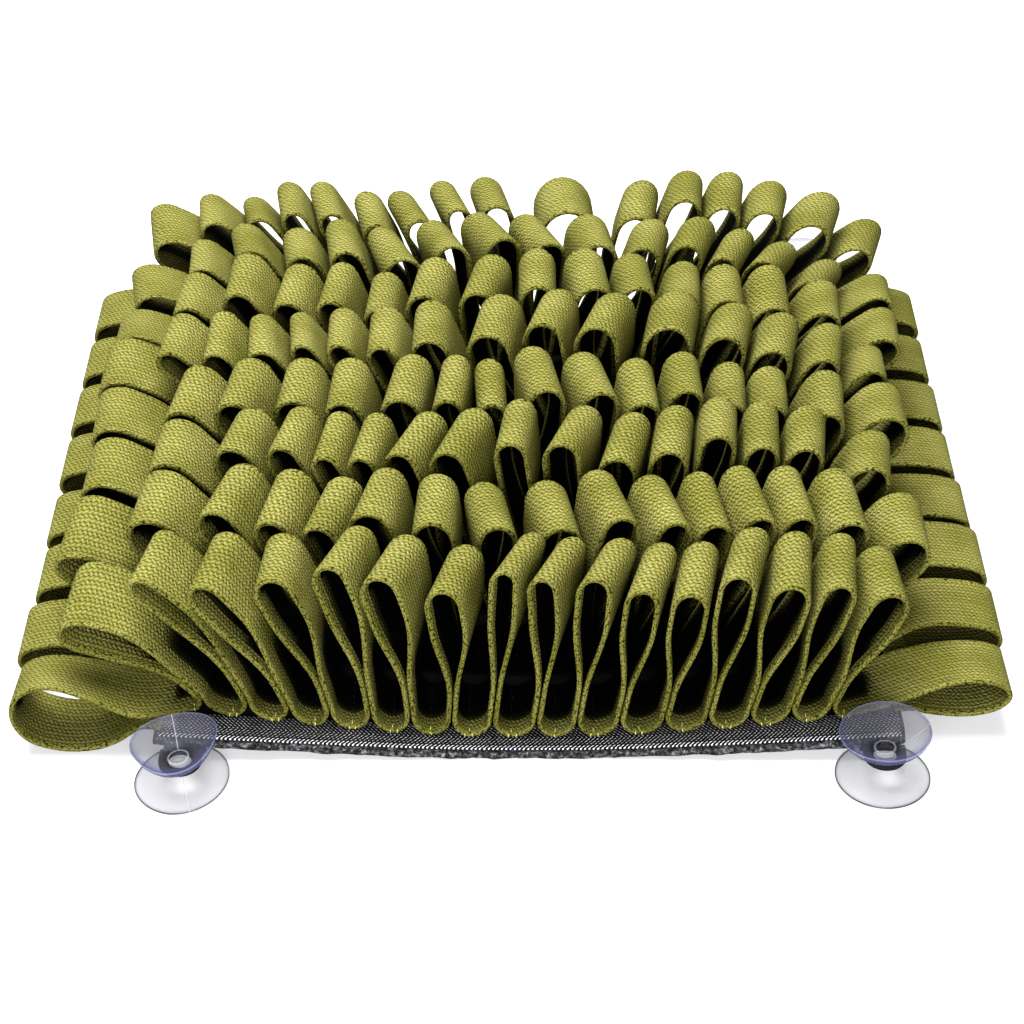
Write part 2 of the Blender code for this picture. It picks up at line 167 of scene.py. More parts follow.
# %% Loops, row by row
# front, front_top, back, back_top: X and Z of the crest at the two edges. wide: across the head.
# belly: how far the loop's middle is bowed to the right of the straight line to its crest.
COLUMNS = ("front", "front_top", "back", "back_top", "wide", "belly")
LOOPS = ((
    (-196, 55, -190, 66, 17, 9), (-163, 84, -155, 87, 12, 7), (-138, 82, -129, 88, 15, 5),
    (-108, 88, -105, 88, 17, 3), (-84, 95, -72, 94, 15, 3), (-64, 90, -52, 90, 17, 3),
    (-37, 84, -27, 85, 16, 3), (-11, 94, 2, 92, 12, 1), (4, 90, 18, 90, 13, 3), (26, 90, 39, 89, 15, 1),
    (46, 84, 56, 86, 15, 1), (66, 82, 73, 86, 16, 1), (85, 91, 94, 93, 16, 1),
    (108, 85, 112, 90, 18, 0), (128, 85, 131, 88, 15, 0), (151, 79, 148, 80, 17, -1),
), (
    (-203, 57.5, -196, 70, 17, 8), (-168, 81, -163, 86, 21, 5), (-137, 88, -125, 93, 20, 3),
    (-113, 84, -104, 91, 19, 3), (-93, 82, -82, 88, 18, 3), (-70, 91, -62, 93, 21, 1),
    (-42, 87, -40, 90, 19, 0), (-13, 85, -20, 86, 18, 0), (15, 84, 8, 87, 19, 0),
    (41, 89, 30, 93, 17, 0), (64, 86, 53, 90, 17, 0), (81, 85, 74, 91, 16, 0), (100, 88, 91, 94, 16, 0),
    (117, 88, 111, 93, 15, 0), (139, 84, 133, 91, 18, 0), (167, 73, 166, 75, 22, -2),
), (
    (-196, 65, -194, 69, 20, 8), (-164, 80, -161, 83, 20, 5), (-133, 91, -125, 92, 18, 3),
    (-110, 93, -102, 94, 18, 3), (-91, 89, -85, 92, 13, 3), (-75, 89, -68, 92, 15, 1),
    (-59, 91, -45, 94, 16, 1), (-38, 92, -25, 96, 17, 1), (-9, 98, -4, 100, 15, 0),
    (13, 97, 25, 97, 17, 0), (38, 89, 47, 93, 18, 0), (61, 93, 66, 96, 18, 0),
    (82, 101, 85, 100, 17, 0), (102, 95, 104, 97, 16, 0), (121, 93, 125, 94, 18, 0),
    (153, 81, 157, 79, 20, -2),
), (
    (-197, 65, -197, 67, 20, 8), (-162, 78, -155, 84, 18, 5), (-137, 85, -130, 90, 20, 3),
    (-109, 88, -105, 91, 19, 3), (-86, 88, -83, 92, 18, 3), (-59, 91, -53, 95, 20, 1),
    (-37, 91, -33, 95, 15, 1), (-16, 89, -18, 93, 14, 0), (9, 97, 2, 100, 18, 0),
    (34, 95, 25, 97, 19, 0), (53, 89, 50, 93, 17, 0), (72, 96, 71, 96, 17, 0), (92, 88, 93, 90, 16, 0),
    (111, 86, 112, 87, 18, 0), (137, 81, 139, 84, 19, 0), (168, 77, 168, 75, 22, -2),
), (
    (-200, 61, -198, 66, 20, 8), (-170, 83, -166, 85, 16, 5), (-148, 84, -146, 88, 17, 3),
    (-126, 86, -128, 87, 16, 3), (-106, 91, -109, 89, 12, 3), (-89, 92, -89, 92, 15, 1),
    (-70, 91, -69, 93, 17, 1), (-48, 95, -47, 97, 18, 0), (-21, 98, -14, 101, 21, 0),
    (5, 104, 14, 104, 19, 0), (30, 102, 41, 102, 21, 0), (65, 102, 71, 102, 24, 0),
    (92, 96, 99, 95, 22, 0), (115, 88, 122, 89, 20, 0), (140, 82, 145, 82, 17, -1),
    (164, 74, 166, 68, 17, -2),
), (
    (-198, 59, -199, 54, 20, 8), (-167, 80, -165, 81, 16, 5), (-141, 90, -138, 94, 18, 3),
    (-118, 86, -113, 89, 19, 3), (-96, 88, -91, 91, 15, 1), (-73, 84, -70, 86, 16, 1),
    (-51, 92, -45, 95, 19, 0), (-25, 94, -17, 97, 19, 0), (5, 98, 5, 100, 18, 0),
    (33, 97, 28, 100, 20, 0), (54, 97, 51, 97, 18, 0), (75, 94, 77, 92, 18, 0), (97, 89, 97, 90, 19, 0),
    (120, 84, 119, 89, 20, 0), (145, 80, 147, 79, 20, -1), (177, 63, 179, 61, 18, -2),
), (
    (-193, 55, -199, 54, 20, 8), (-164, 76, -166, 74, 15, 5), (-138, 88, -144, 85, 17, 3),
    (-112, 86, -117, 84, 20, 1), (-90, 90, -95, 90, 18, 1), (-61, 86, -74, 87, 20, 0),
    (-36, 94, -48, 91, 18, 0), (-10, 98, -25, 96, 19, 0), (13, 95, -1, 95, 18, 0),
    (37, 95, 31, 94, 22, 0), (58, 93, 64, 91, 20, 0), (79, 94, 88, 92, 19, 0), (97, 86, 109, 85, 16, 0),
    (117, 83, 131, 77, 18, 0), (143, 70, 156, 65, 18, -1), (179, 60, 181, 54, 16, -2),
), (
    (-188, 62, -193, 67, 23, 8), (-162, 77, -166, 76, 17, 5), (-137, 81, -143, 76, 17, 3),
    (-119, 86, -124, 86, 14, 1), (-100, 86, -107, 87, 15, 1), (-77, 80, -84, 82, 16, 0),
    (-55, 83, -67, 83, 16, 0), (-35, 90, -45, 89, 14, 0), (-16, 92, -23, 91, 17, 0),
    (21, 89, 18, 91, 30, 0), (56, 85, 61, 89, 25, 0), (81, 95, 84, 94, 20, 0),
    (101, 90, 105, 93, 19, 0), (122, 87, 128, 87, 21, 0), (148, 78, 157, 79, 24, -1),
    (173, 62, 182, 61, 20, -2),
))
print("loops in all:", sum(len(row) for row in LOOPS) + 2 * ROWS)

# %% [markdown]
# The loops at both ends of a row have nothing to lean on, so they lie down sideways. Each is
# drawn as a few places from the felt's edge, out along the floor, round the fold and back in to
# the first seam. The front row's two are drawn place by place because they stand the most open.

# %% End loops
# by hand, then row by row. X and Z: the middle of the fold. Deep: top layer to bottom layer.
# Back: behind the row's front.
ENDS = {
    -1: ((-218, 19, 37, -5), (-221, 13, 20, -3), (-219.5, 13, 20, -3), (-221, 12, 18, -3),
         (-221, 14, 20, -3), (-221.5, 14, 20, -3), (-221.5, 14, 20, -3), (-221, 15, 21, -3)),
    1: ((205, 20, 21, 7), (205, 19, 20, 3.5), (204.5, 19, 20, 3), (203.5, 16, 18, 3),
        (202.5, 14, 18, 3), (202.5, 13, 17, 3), (201.5, 13, 17, 3), (201.5, 14, 18, 3)),
}
# the front row's: X, Z, and how much lower the back edge lies
FRONT_FOLDS = {
    -1: ((-175, 6.5, 0), (-186, 2.4, 0), (-199, 2.4, 0), (-211, 7, 0), (-217, 16.5, 2),
         (-216, 28, 6), (-208, 35, 8), (-197, 35.5, 8), (-183, 29.5, 5), (-167, 21, 0.5),
         (-153, 15.5, 0)),
    1: ((170, 12.5, 0), (185, 11, 0), (197, 13.5, 0), (203.5, 19.5, 1), (201, 26, 3),
        (190, 29.5, 4), (176, 27.5, 3), (161, 20.5, 0), (149, 16, 0)),
}
START_INSET = 4.0  # from the felt's side to where the webbing starts on it
OVERHANG = 5.0  # past the felt's side, before it falls to the floor


def end_places(row, hand, edge):
    """X, Z places of an end loop, from the felt's edge round the fold to the top layer."""
    start = (BASE_HALF_WIDTH - START_INSET) * hand
    over_edge = (BASE_HALF_WIDTH + OVERHANG) * hand
    on_base = [(start, seat(start, row) + 0.3), (over_edge, seat(start, row) + 0.9)]
    if row == 0:
        share = 1.0 if edge == "back" else 0.0
        return on_base + [(x, z - drop * share) for x, z, drop in FRONT_FOLDS[hand]]
    out, z, deep, _ = ENDS[hand][row]
    half = deep / 2 - HALF_THICK
    bottom = max(z - half, HALF_THICK + GAP)
    return on_base + [
        (out - 36.0 * hand, bottom), (out - 10.0 * hand, bottom + 0.6), (out, z - half * 0.35),
        (out - 1.5 * hand, z + half * 0.55), (out - 14.0 * hand, z + half),
        (out - 34.0 * hand, z + half), (start - 1.0 * hand, seat(start, row) + 5.0)]


print("front left fold reaches X", min(x for x, _ in end_places(0, -1, "front")))

# %% [markdown]
# ## From a table row to a folded strip
#
# A loop is a middle line from its foot to its crest, with a half width that starts pinched, opens
# to the head and closes round the crest. Between two loops the webbing dips to its seam in a
# round U. Joined end to end, these give the line of one edge of the strip. The strip is one
# grid: its columns follow the folds, and its rows go once round the webbing's thin section.

# %% One upright loop
LOOP_STEPS = 15  # places up one side of a loop
CREST_STEPS = 12  # and round its crest
NECK_GAP = HALF_THICK + 0.25
DIP_HEIGHT = 8.0
OPEN_SHARE = 0.27  # a loop's sides stay together up to here
HEAD_SHARE = 0.74
LOOP_CLEARANCE = 0.9  # between the heads of two loops
WALL_CLEARANCE = 0.5  # and between their walls


def smooth_step(share):
    share = min(max(share, 0.0), 1.0)
    return share * share * (3 - 2 * share)


class LoopSide:
    """An upright loop at one edge of the webbing, with its middle line from foot to crest."""

    def __init__(self, row, loop, edge):
        sizes = dict(zip(COLUMNS, LOOPS[row][loop - 1]))
        foot_x = (seam_x(loop - 1, row) + seam_x(loop, row)) / 2
        self.foot = Vector((foot_x, seat(foot_x, row)))
        rise = Vector((sizes[edge], sizes[edge + "_top"] - HALF_THICK)) - self.foot
        self.up = rise.normalized()
        self.reach = rise.length
        self.belly = sizes["belly"]
        self.wide = sizes["wide"]
        self.beside = [(row, other, edge) for other in (loop - 1, loop + 1)
                       if 1 <= other < SEAMS]

    def place(self, share):
        """A place on the middle line."""
        side = Vector((self.up.y, -self.up.x))
        bend = 4 * share * (1 - share)
        return self.foot + self.up * self.reach * share + side * self.belly * bend

    def way(self, share):
        step = 0.01
        return (self.place(share + step) - self.place(share - step)).normalized()

    def wall(self, share, half):
        """The place this far to the right of the middle line."""
        way = self.way(min(share, 0.99))
        return self.place(share) + Vector((way.y, -way.x)) * half

    def room(self, share):
        """Smallest distance between this middle line and the neighbours'."""
        here, way = self.place(share), self.way(share)
        rooms = []
        for there in (LoopSide(*other) for other in self.beside):
            middle_way = (way + there.way(share)).normalized()
            rooms.append(abs((there.place(share) - here).cross(middle_way)))
        return min(rooms) - WEBBING_THICK


def loop_line(row, loop, edge):
    """One upright loop at one edge, from the left neck over the crest to the right neck."""
    side = LoopSide(row, loop, edge)
    head = min(side.wide - WEBBING_THICK, side.room(HEAD_SHARE) - LOOP_CLEARANCE) / 2
    start = DIP_HEIGHT / side.reach
    round_from = 1 - min(head * 1.25 / side.reach, 0.2)
    left, right, crest = [], [], []
    for step in range(LOOP_STEPS + 1):
        share = start + (round_from - start) * step / LOOP_STEPS
        opened = smooth_step((share - OPEN_SHARE) / (HEAD_SHARE - OPEN_SHARE))
        half = NECK_GAP + (head - NECK_GAP) * opened
        half = max(min(half, (side.room(share) - WALL_CLEARANCE) / 2), NECK_GAP)
        left.append(side.wall(share, -half))
        right.append(side.wall(share, half))
    for step in range(1, CREST_STEPS):
        angle = math.pi * step / CREST_STEPS
        share = round_from + (1 - round_from) * math.sin(angle)
        crest.append(side.wall(share, -half * math.cos(angle)))
    return left + crest + right[::-1]


print("places along a loop:", len(loop_line(0, 1, "front")))

# %% Lines of a folded strip
SEAM_STEPS = 12  # places down one side of the dip between two loops
END_STEPS = 6  # and between two places of an end loop
OPEN_DEPTH = 15.0  # a fold this deep is as open as an upright loop's crest


def dip_line(row, seam, edge):
    """The round dip at a seam, between the neck of one loop and the neck of the next."""
    middle = Vector((seam_x(seam, row), seat(seam_x(seam, row), row)))
    before = loop_line(row, seam, edge)[-1] if seam > 0 else None
    after = loop_line(row, seam + 1, edge)[0] if seam < SEAMS - 1 else None
    points = []
    for step in range(1, 2 * SEAM_STEPS):
        angle = math.pi / 2 * (step / SEAM_STEPS - 1)
        neck = before if angle < 0 else after
        if neck is not None:
            way = neck - middle
            points.append(middle + Vector((way.x * abs(math.sin(angle)),
                                           way.y * (1 - math.cos(angle)))))
    return points


def spline(places, steps):
    """Places along a Catmull-Rom curve through the given ones."""
    padded = [places[0] * 2 - places[1]] + list(places) + [places[-1] * 2 - places[-2]]
    points = []
    for p0, p1, p2, p3 in zip(padded, padded[1:], padded[2:], padded[3:]):
        for step in range(steps):
            t = step / steps
            points.append(0.5 * (2 * p1 + (p2 - p0) * t + (2 * p0 - 5 * p1 + 4 * p2 - p3) * t ** 2
                                 + (3 * p1 - p0 - 3 * p2 + p3) * t ** 3))
    return points + [places[-1]]


def end_line(row, hand, edge):
    """An end loop with its way back to its seam, as X, Z, distance behind and air."""
    _, _, deep, behind = ENDS[hand][row]
    seam = 0 if hand < 0 else SEAMS - 1
    room = deep / OPEN_DEPTH
    places = [Vector((x, z, behind, room)) for x, z in end_places(row, hand, edge)]
    last = seam_x(seam, row)
    places[-1].z = (behind + bow(last)) / 2
    places[-1].w = 0.6
    places.append(Vector((last, seat(last, row), bow(last), 0.0)))
    line = spline(places, END_STEPS)
    return line if hand < 0 else line[::-1]


def strip_line(row, edge):
    """One whole edge of a strip, left to right: X, Z, distance behind the front, and air, which
    is 0 at a seam, 1 at a crest, and more in a wide fold."""
    climb = [step / LOOP_STEPS for step in range(LOOP_STEPS + 1)]
    airs = climb + [1.0] * (CREST_STEPS - 1) + climb[::-1]
    line = end_line(row, -1, edge)
    for seam in range(SEAMS):
        for place in dip_line(row, seam, edge):
            line.append(Vector((place.x, place.y, bow(place.x), 0.0)))
        if seam < SEAMS - 1:
            foot_x = (seam_x(seam, row) + seam_x(seam + 1, row)) / 2
            for place, air in zip(loop_line(row, seam + 1, edge), airs):
                line.append(Vector((place.x, place.y, bow(foot_x), air)))
    return line + end_line(row, 1, edge)


print("places along one strip:", len(strip_line(0, "front")))

# %% Section of the webbing
FACE_STEPS = 7  # across the webbing's face
EDGE_STEPS = 4  # round its woven edge
EDGE_ROUND = 0.9  # mm
SHORTEST_STEP = 0.35  # mm, between two places of a strip's line


def section_ring():
    """Once round the webbing's section: share across, share of the thickness, distance."""
    inset = EDGE_ROUND / WEBBING_WIDTH
    face = [inset + (1 - 2 * inset) * step / FACE_STEPS for step in range(FACE_STEPS + 1)]
    turns = [math.pi * step / EDGE_STEPS for step in range(1, EDGE_STEPS)]
    ring = []
    for side in (1, -1):
        ring += [(across, side) for across in face[::side]]
        ring += [(0.5 + side * (0.5 - inset + inset * math.sin(turn)), side * math.cos(turn))
                 for turn in turns]
    ring.append(ring[0])
    steps = (math.hypot((a1 - a0) * WEBBING_WIDTH, (b1 - b0) * HALF_THICK)
             for (a0, b0), (a1, b1) in zip(ring, ring[1:]))
    return [(a, b, d) for (a, b), d in zip(ring, accumulate(steps, initial=0.0))]


def line_normals(line):
    """Unit normals of a line in the X, Z plane, to the left of its way."""
    padded = line[:1] + line + line[-1:]
    ways = [(ahead - behind).xy.normalized() for behind, ahead in zip(padded, padded[2:])]
    return [Vector((-way.y, way.x)) for way in ways]


def thinned(front, back):
    """Drops places that nearly repeat the last one, in both lines at once."""
    kept = [0]
    for index in range(1, len(front)):
        gap = (front[index] - front[kept[-1]]).xyz.length
        if gap > SHORTEST_STEP or index == len(front) - 1:
            kept.append(index)
    return [front[i] for i in kept], [back[i] for i in kept]


print("once round the section:", round(section_ring()[-1][2], 1), "mm")

# %% [markdown]
# Little light gets into the folds of thick webbing, and a real mat's hollows are nearly black. How
# much gets to each place follows from its distance from the webbing's edges and from the open top
# of a row. It is worked out with the mesh and kept as an attribute, and the materials darken their
# colour by it: this is painted shade, not shade cast by the lamps.

# %% Light in the folds
LIGHT_REACH = 6.0  # mm in from the webbing's edge, in a dip between two loops
REACH_INSIDE = 0.3  # share of it inside a loop
REACH_UP = 1.35  # and what a face gains by looking up
POCKET_SHARE = 0.35  # of a loop's reach: below this its outside is hidden
POCKET_FADE = 0.5
RIM_LIT = 0.4  # mm: the light starts to fall off this far in
FALL_POWER = 3  # how sharply it does
FEET_DARK = 33.0  # mm: between two rows no light comes down this far
HEADS_LIT = 79.0
SIDE_DIM = 135.0  # from here out to the mat's ends it comes in from the side
SIDE_FADE = 25.0


def edge_light(row, across, x, z):
    """How much light gets to the nearer edge: all of it at the mat's own front, back and ends,
    and between two rows less and less towards their feet."""
    high = smooth_step((z - FEET_DARK) / (HEADS_LIT - FEET_DARK))
    inner = max(high, smooth_step((abs(x) - SIDE_DIM) / SIDE_FADE))
    front = 1.0 if row == 0 else inner
    back = 1.0 if row == ROWS - 1 else inner
    return front + (back - front) * smooth_step((across - 0.3) / 0.4)


def painted_light(across, level, air, up):
    """How much light finds a place, which the materials paint into their colour as shade: 1 at the
    webbing's edges and on open faces, down to 0 far in from an edge, inside a loop or low down
    between two loops."""
    from_edge = min(across, 1 - across) * WEBBING_WIDTH
    opened = smooth_step((air - POCKET_SHARE) / POCKET_FADE)
    share = REACH_INSIDE if level < 0 else 1.0
    reach = LIGHT_REACH * (share + REACH_UP * max(up * level, 0.0) * opened) * max(air, 1.0)
    hidden = 1 - math.exp(-(max(from_edge - RIM_LIT, 0.0) / reach) ** FALL_POWER)
    return 1 - hidden + hidden * opened * (level + 1) / 2


print("light in the middle of a closed fold:", round(painted_light(0.5, -1, 0.0, 0.0), 3))

# %% Strips
MOST_SKEW = 24.0  # mm, between the crests of a loop's two edges


def make_strip(row):
    front, back = thinned(strip_line(row, "front"), strip_line(row, "back"))
    columns = len(front) - 1
    ring = section_ring()
    around = len(ring) - 1
    middle = [(near + far) / 2 for near, far in zip(front, back)]
    steps = ((after - here).xy.length for here, after in zip(middle, middle[1:]))
    along = list(accumulate(steps, initial=0.0))
    normals = [line_normals(front), line_normals(back)]
    body = bmesh.new()
    uv = body.loops.layers.uv.new("UVMap")
    painted_light_layer = body.verts.layers.float.new("painted_light")
    bmesh.ops.create_grid(body, x_segments=columns, y_segments=around, size=1.0)
    for vert in body.verts:
        step = round((vert.co.x + 1) / 2 * columns)
        across, level, distance = ring[round((vert.co.y + 1) / 2 * around)]
        for corner in vert.link_loops:
            corner[uv].uv = (along[step] / WEBBING_WIDTH, distance / WEBBING_WIDTH)
        near, far = front[step], back[step]
        # a twisted loop reaches less far back, since the webbing keeps its width
        skew = min((far - near).xy.length, MOST_SKEW)
        depth = math.sqrt(WEBBING_WIDTH ** 2 - skew ** 2)
        normal = normals[0][step].lerp(normals[1][step], across).normalized()
        place = near.lerp(far, across)
        flat = place.xy + normal * level * HALF_THICK
        y = row_front(row) + place.z + WEBBING_WIDTH / 2 + (across - 0.5) * depth
        vert.co = (Vector((flat.x, y, flat.y)) + MIDDLE) * MM
        # painted shade: the light that gets here, by which the material darkens the colour
        vert[painted_light_layer] = painted_light(across, level, place.w, normal.y) * edge_light(
            row, across, place.x, place.y)
    bmesh.ops.remove_doubles(body, verts=body.verts, dist=0.00001)
    ends = [edge for edge in body.edges if edge.is_boundary]
    bmesh.ops.holes_fill(body, edges=ends, sides=0)
    bmesh.ops.recalc_face_normals(body, faces=body.faces)
    return mesh_object(f"webbing_{row + 1}", body), along[-1]


webbing = []
for number in range(ROWS):
    piece, length = make_strip(number)
    webbing.append(piece)
    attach(piece, "root")
    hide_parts(f"strip_{number + 1}")
    print(piece.name, len(piece.data.polygons), "faces,", round(length), "mm long")

# %% [markdown]
# ## Colours and nodes
#
# Colours are easiest to judge as the sRGB hex values of a paint program, but shaders add light,
# so they need linear values, and one function turns hex to linear. Another adds a node, sets it,
# links its inputs and gives one of its outputs. A pattern is then a list of short steps, each
# one node, that can be read from top to bottom.


# %% Helpers for materials
def linear(hex_colour):
    """sRGB hex to a linear RGBA colour."""
    channels = []
    for start in (0, 2, 4):
        value = int(hex_colour[start:start + 2], 16) / 255
        channels.append(value / 12.92 if value <= 0.04045 else ((value + 0.055) / 1.055) ** 2.4)
    return (*channels, 1.0)


def set_inputs(node, inputs):
    """Sets each input to a constant, or links it from an output."""
    for key, value in inputs.items():
        if isinstance(value, bpy.types.NodeSocket):
            node.id_data.links.new(value, node.inputs[key])
        else:
            node.inputs[key].default_value = value


def add_node(tree, kind, inputs=None, output=0, stops=(), **settings):
    """Adds a node with its settings and links, and gives one of its outputs.

    A colour ramp also has stops, a list of (place, hex colour).
    """
    node = tree.nodes.new("ShaderNode" + kind)
    for name, value in settings.items():
        setattr(node, name, value)
    if stops:
        elements = node.color_ramp.elements
        while len(elements) < len(stops):
            elements.new(0.5)
        for element, (place, colour) in zip(elements, stops):
            element.position = place
            element.color = linear(colour)
    set_inputs(node, inputs or {})
    return node.outputs[output]


def new_material(name):
    """A material, its shader, and add_node for its tree."""
    material = bpy.data.materials.new(name)
    material.use_nodes = True
    tree = material.node_tree
    return material, tree.nodes["Principled BSDF"], partial(add_node, tree)


print("olive, linear:", [round(value, 3) for value in linear("8A8A32")])

# %% [markdown]
# ## Woven cotton
#
# Heavy webbing is warp-faced: thick cotton ends run along it and float over the weft, fifteen
# ribs in the 32 mm. Each float is a plump grain about 2 mm long, and the next rib's grains are
# half a grain further on, so the dark gaps between the ribs are wavy. The ends are twisted,
# which slants each grain a little. The two woven edges are a tight braid. The UV map has the
# webbing's width as its unit, so a count of ribs or grains per width is a multiplication.

# %% Webbing material
RIBS = 15  # across 32 mm
GRAIN_LENGTH = 2.1  # mm
GRAINS = WEBBING_WIDTH / GRAIN_LENGTH
GRAIN_SLANT = 0.35  # of a grain, from one side of a rib to the other
RIB_SWING = 0.17  # of a rib
HALF_SECTION = section_ring()[-1][2] / WEBBING_WIDTH / 2
FACE_SHARE = section_ring()[FACE_STEPS][2] / WEBBING_WIDTH
EDGE_MIDDLE = (HALF_SECTION - FACE_SHARE) / 2
EDGE_FROM = 0.5 - (EDGE_MIDDLE + EDGE_ROUND / WEBBING_WIDTH) / HALF_SECTION


def cotton_webbing():
    # dyed cotton is matt; its grains are drawn light and the gaps between them dark, partly the weave's
    # own look and partly painted shade in the gaps and painted highlight on the grains
    material, shader, add = new_material("woven cotton webbing, olive")
    uv = add("UVMap", output="UV")
    wander = add("TexNoise", {"Vector": uv, "Scale": 7.0, "Detail": 3.0}, "Color",
                 noise_dimensions="2D")
    moved = add("VectorMath", {0: wander, 1: (0.06, 0.035, 0.0), 2: uv},
                operation="MULTIPLY_ADD")
    along = add("SeparateXYZ", {0: moved}, "X")
    across = add("SeparateXYZ", {0: moved}, "Y")
    # each rib swings a little from side to side, once for each grain
    swing = add("Math", {0: along, 1: math.tau * GRAINS}, operation="MULTIPLY")
    swing = add("Math", {0: swing}, operation="SINE")
    rib = add("Math", {0: across, 1: RIBS}, operation="MULTIPLY")
    rib = add("Math", {0: swing, 1: RIB_SWING, 2: rib}, operation="MULTIPLY_ADD")
    in_rib = add("Math", {0: rib}, operation="FRACT")
    in_rib = add("Math", {0: in_rib, 1: 0.5}, operation="SUBTRACT")
    # every other rib's grains are half a grain further on
    number = add("Math", {0: rib}, operation="FLOOR")
    odd = add("Math", {0: number, 1: 2.0}, operation="MODULO")
    shift = add("Math", {0: odd, 1: 0.5}, operation="MULTIPLY")
    grain = add("Math", {0: along, 1: GRAINS, 2: shift}, operation="MULTIPLY_ADD")
    grain = add("Math", {0: in_rib, 1: GRAIN_SLANT, 2: grain}, operation="MULTIPLY_ADD")
    in_grain = add("Math", {0: grain}, operation="FRACT")
    in_grain = add("Math", {0: in_grain, 1: 0.5}, operation="SUBTRACT")
    # a plump grain: 1 on its back, with a deep gap between ribs and a shallow one along a rib
    long_part = add("Math", {0: in_grain, 1: 2.0}, operation="MULTIPLY")
    long_part = add("Math", {0: long_part}, operation="ABSOLUTE")
    long_part = add("Math", {0: long_part, 1: 2.0}, operation="POWER")
    wide_part = add("Math", {0: in_rib, 1: 2.0}, operation="MULTIPLY")
    wide_part = add("Math", {0: wide_part}, operation="ABSOLUTE")
    wide_part = add("Math", {0: wide_part, 1: 2.4}, operation="POWER")
    fall = add("Math", {0: wide_part, 1: 0.56}, operation="MULTIPLY")
    fall = add("Math", {0: long_part, 1: 0.36, 2: fall}, operation="MULTIPLY_ADD")
    # the fine twist of the yarn in each grain, and fibres
    twist_x = add("Math", {0: along, 1: GRAINS * 2.0}, operation="MULTIPLY")
    twist_y = add("Math", {0: across, 1: RIBS * 2.6}, operation="MULTIPLY")
    twist_place = add("CombineXYZ", {"X": twist_x, "Y": twist_y})
    fibre = add("TexNoise", {"Vector": twist_place, "Scale": 1.5, "Detail": 4.0,
                             "Roughness": 0.75}, "Fac", noise_dimensions="2D")
    face = add("Math", {0: 0.75, 1: fall}, operation="SUBTRACT")
    face = add("Math", {0: fibre, 1: 0.9, 2: face}, operation="MULTIPLY_ADD")
    # the woven edge is a tight braid of smaller grains
    knots = add("TexVoronoi", {"Vector": twist_place, "Scale": 0.75, "Randomness": 0.8},
                "Distance", voronoi_dimensions="2D")
    braid = add("Math", {0: knots, 1: -1.15, 2: 0.98}, operation="MULTIPLY_ADD")
    braid = add("Math", {0: fibre, 1: 0.7, 2: braid}, operation="MULTIPLY_ADD")
    turn = add("Math", {0: across, 1: EDGE_MIDDLE}, operation="ADD")
    turn = add("Math", {0: turn, 1: HALF_SECTION}, operation="DIVIDE")
    turn = add("Math", {0: turn}, operation="FRACT")
    to_edge = add("Math", {0: turn, 1: 0.5}, operation="SUBTRACT")
    to_edge = add("Math", {0: to_edge}, operation="ABSOLUTE")
    at_edge = add("Math", {0: to_edge, 1: EDGE_FROM}, operation="GREATER_THAN")
    height = add("Mix", {0: at_edge, 2: face, 3: braid}, data_type="FLOAT")
    bright = add("Math", {0: height, 1: 0.75}, operation="MULTIPLY")
    # the grain's height sets its colour: the weave's pattern, with painted shade in its gaps and
    # painted highlight on the grains' backs
    shade = add("ValToRGB", {"Fac": bright}, stops=[
        (0.20, "1A1A08"), (0.36, "494819"), (0.56, "75743A"), (0.76, "88854D"), (0.92, "9D9B71")])
    # dye takes a little unevenly over some centimetres
    patch = add("TexNoise", {"Vector": uv, "Scale": 1.1, "Detail": 2.0}, "Fac",
                noise_dimensions="2D")
    dye = add("ValToRGB", {"Fac": patch}, stops=[(0.3, "DFE1CC"), (0.7, "FFFFFF")])
    tint = add("Mix", {"Factor": 1.0, 6: shade, 7: dye}, 2, data_type="RGBA",
               blend_type="MULTIPLY")
    # painted shade: the colour is darkened where little light gets in, and there the backs of the
    # grains are left lighter as a painted highlight
    air = add("Attribute", output="Fac", attribute_name="painted_light")
    backs = add("Math", {0: height, 1: 1.5, 2: -0.85}, operation="MULTIPLY_ADD", use_clamp=True)
    some_air = add("Math", {0: air, 1: 3.0}, operation="MULTIPLY")
    no_air = add("Math", {0: 1.0, 1: air}, operation="SUBTRACT")
    half_lit = add("Math", {0: some_air, 1: no_air}, operation="MINIMUM")
    lit = add("Math", {0: half_lit, 1: backs, 2: air}, operation="MULTIPLY_ADD")
    dark = add("ValToRGB", {"Fac": lit}, stops=[(0.0, "050504"), (1.0, "FFFFFF")])
    with_painted_shade = add("Mix", {"Factor": 1.0, 6: tint, 7: dark}, 2, data_type="RGBA",
                 blend_type="MULTIPLY")
    bump = add("Bump", {"Height": height, "Strength": 1.0, "Distance": 0.7 * MM})
    set_inputs(shader, {"Base Color": with_painted_shade, "Normal": bump, "Roughness": 0.85,
                        "Specular IOR Level": 0.08})
    return material


cotton = cotton_webbing()
for piece in webbing:
    piece.data.materials.clear()
    piece.data.materials.append(cotton)
print("nodes in the webbing material:", len(cotton.node_tree.nodes))

# %% [markdown]
# ## Base felt
#
# Needled felt is a mat of fibres with no weave, here made of mixed grey and black waste, so it
# is dark with pale flecks. It is cut with a blade, and the cut edge wanders and frays a little. A
# grid takes the outline, its rim is moved by noise, and Solidify gives the 3 mm of thickness.

# %% Helpers for flat pieces
RIM_ANGLE = 50  # degrees: an edge sharper than this is rounded


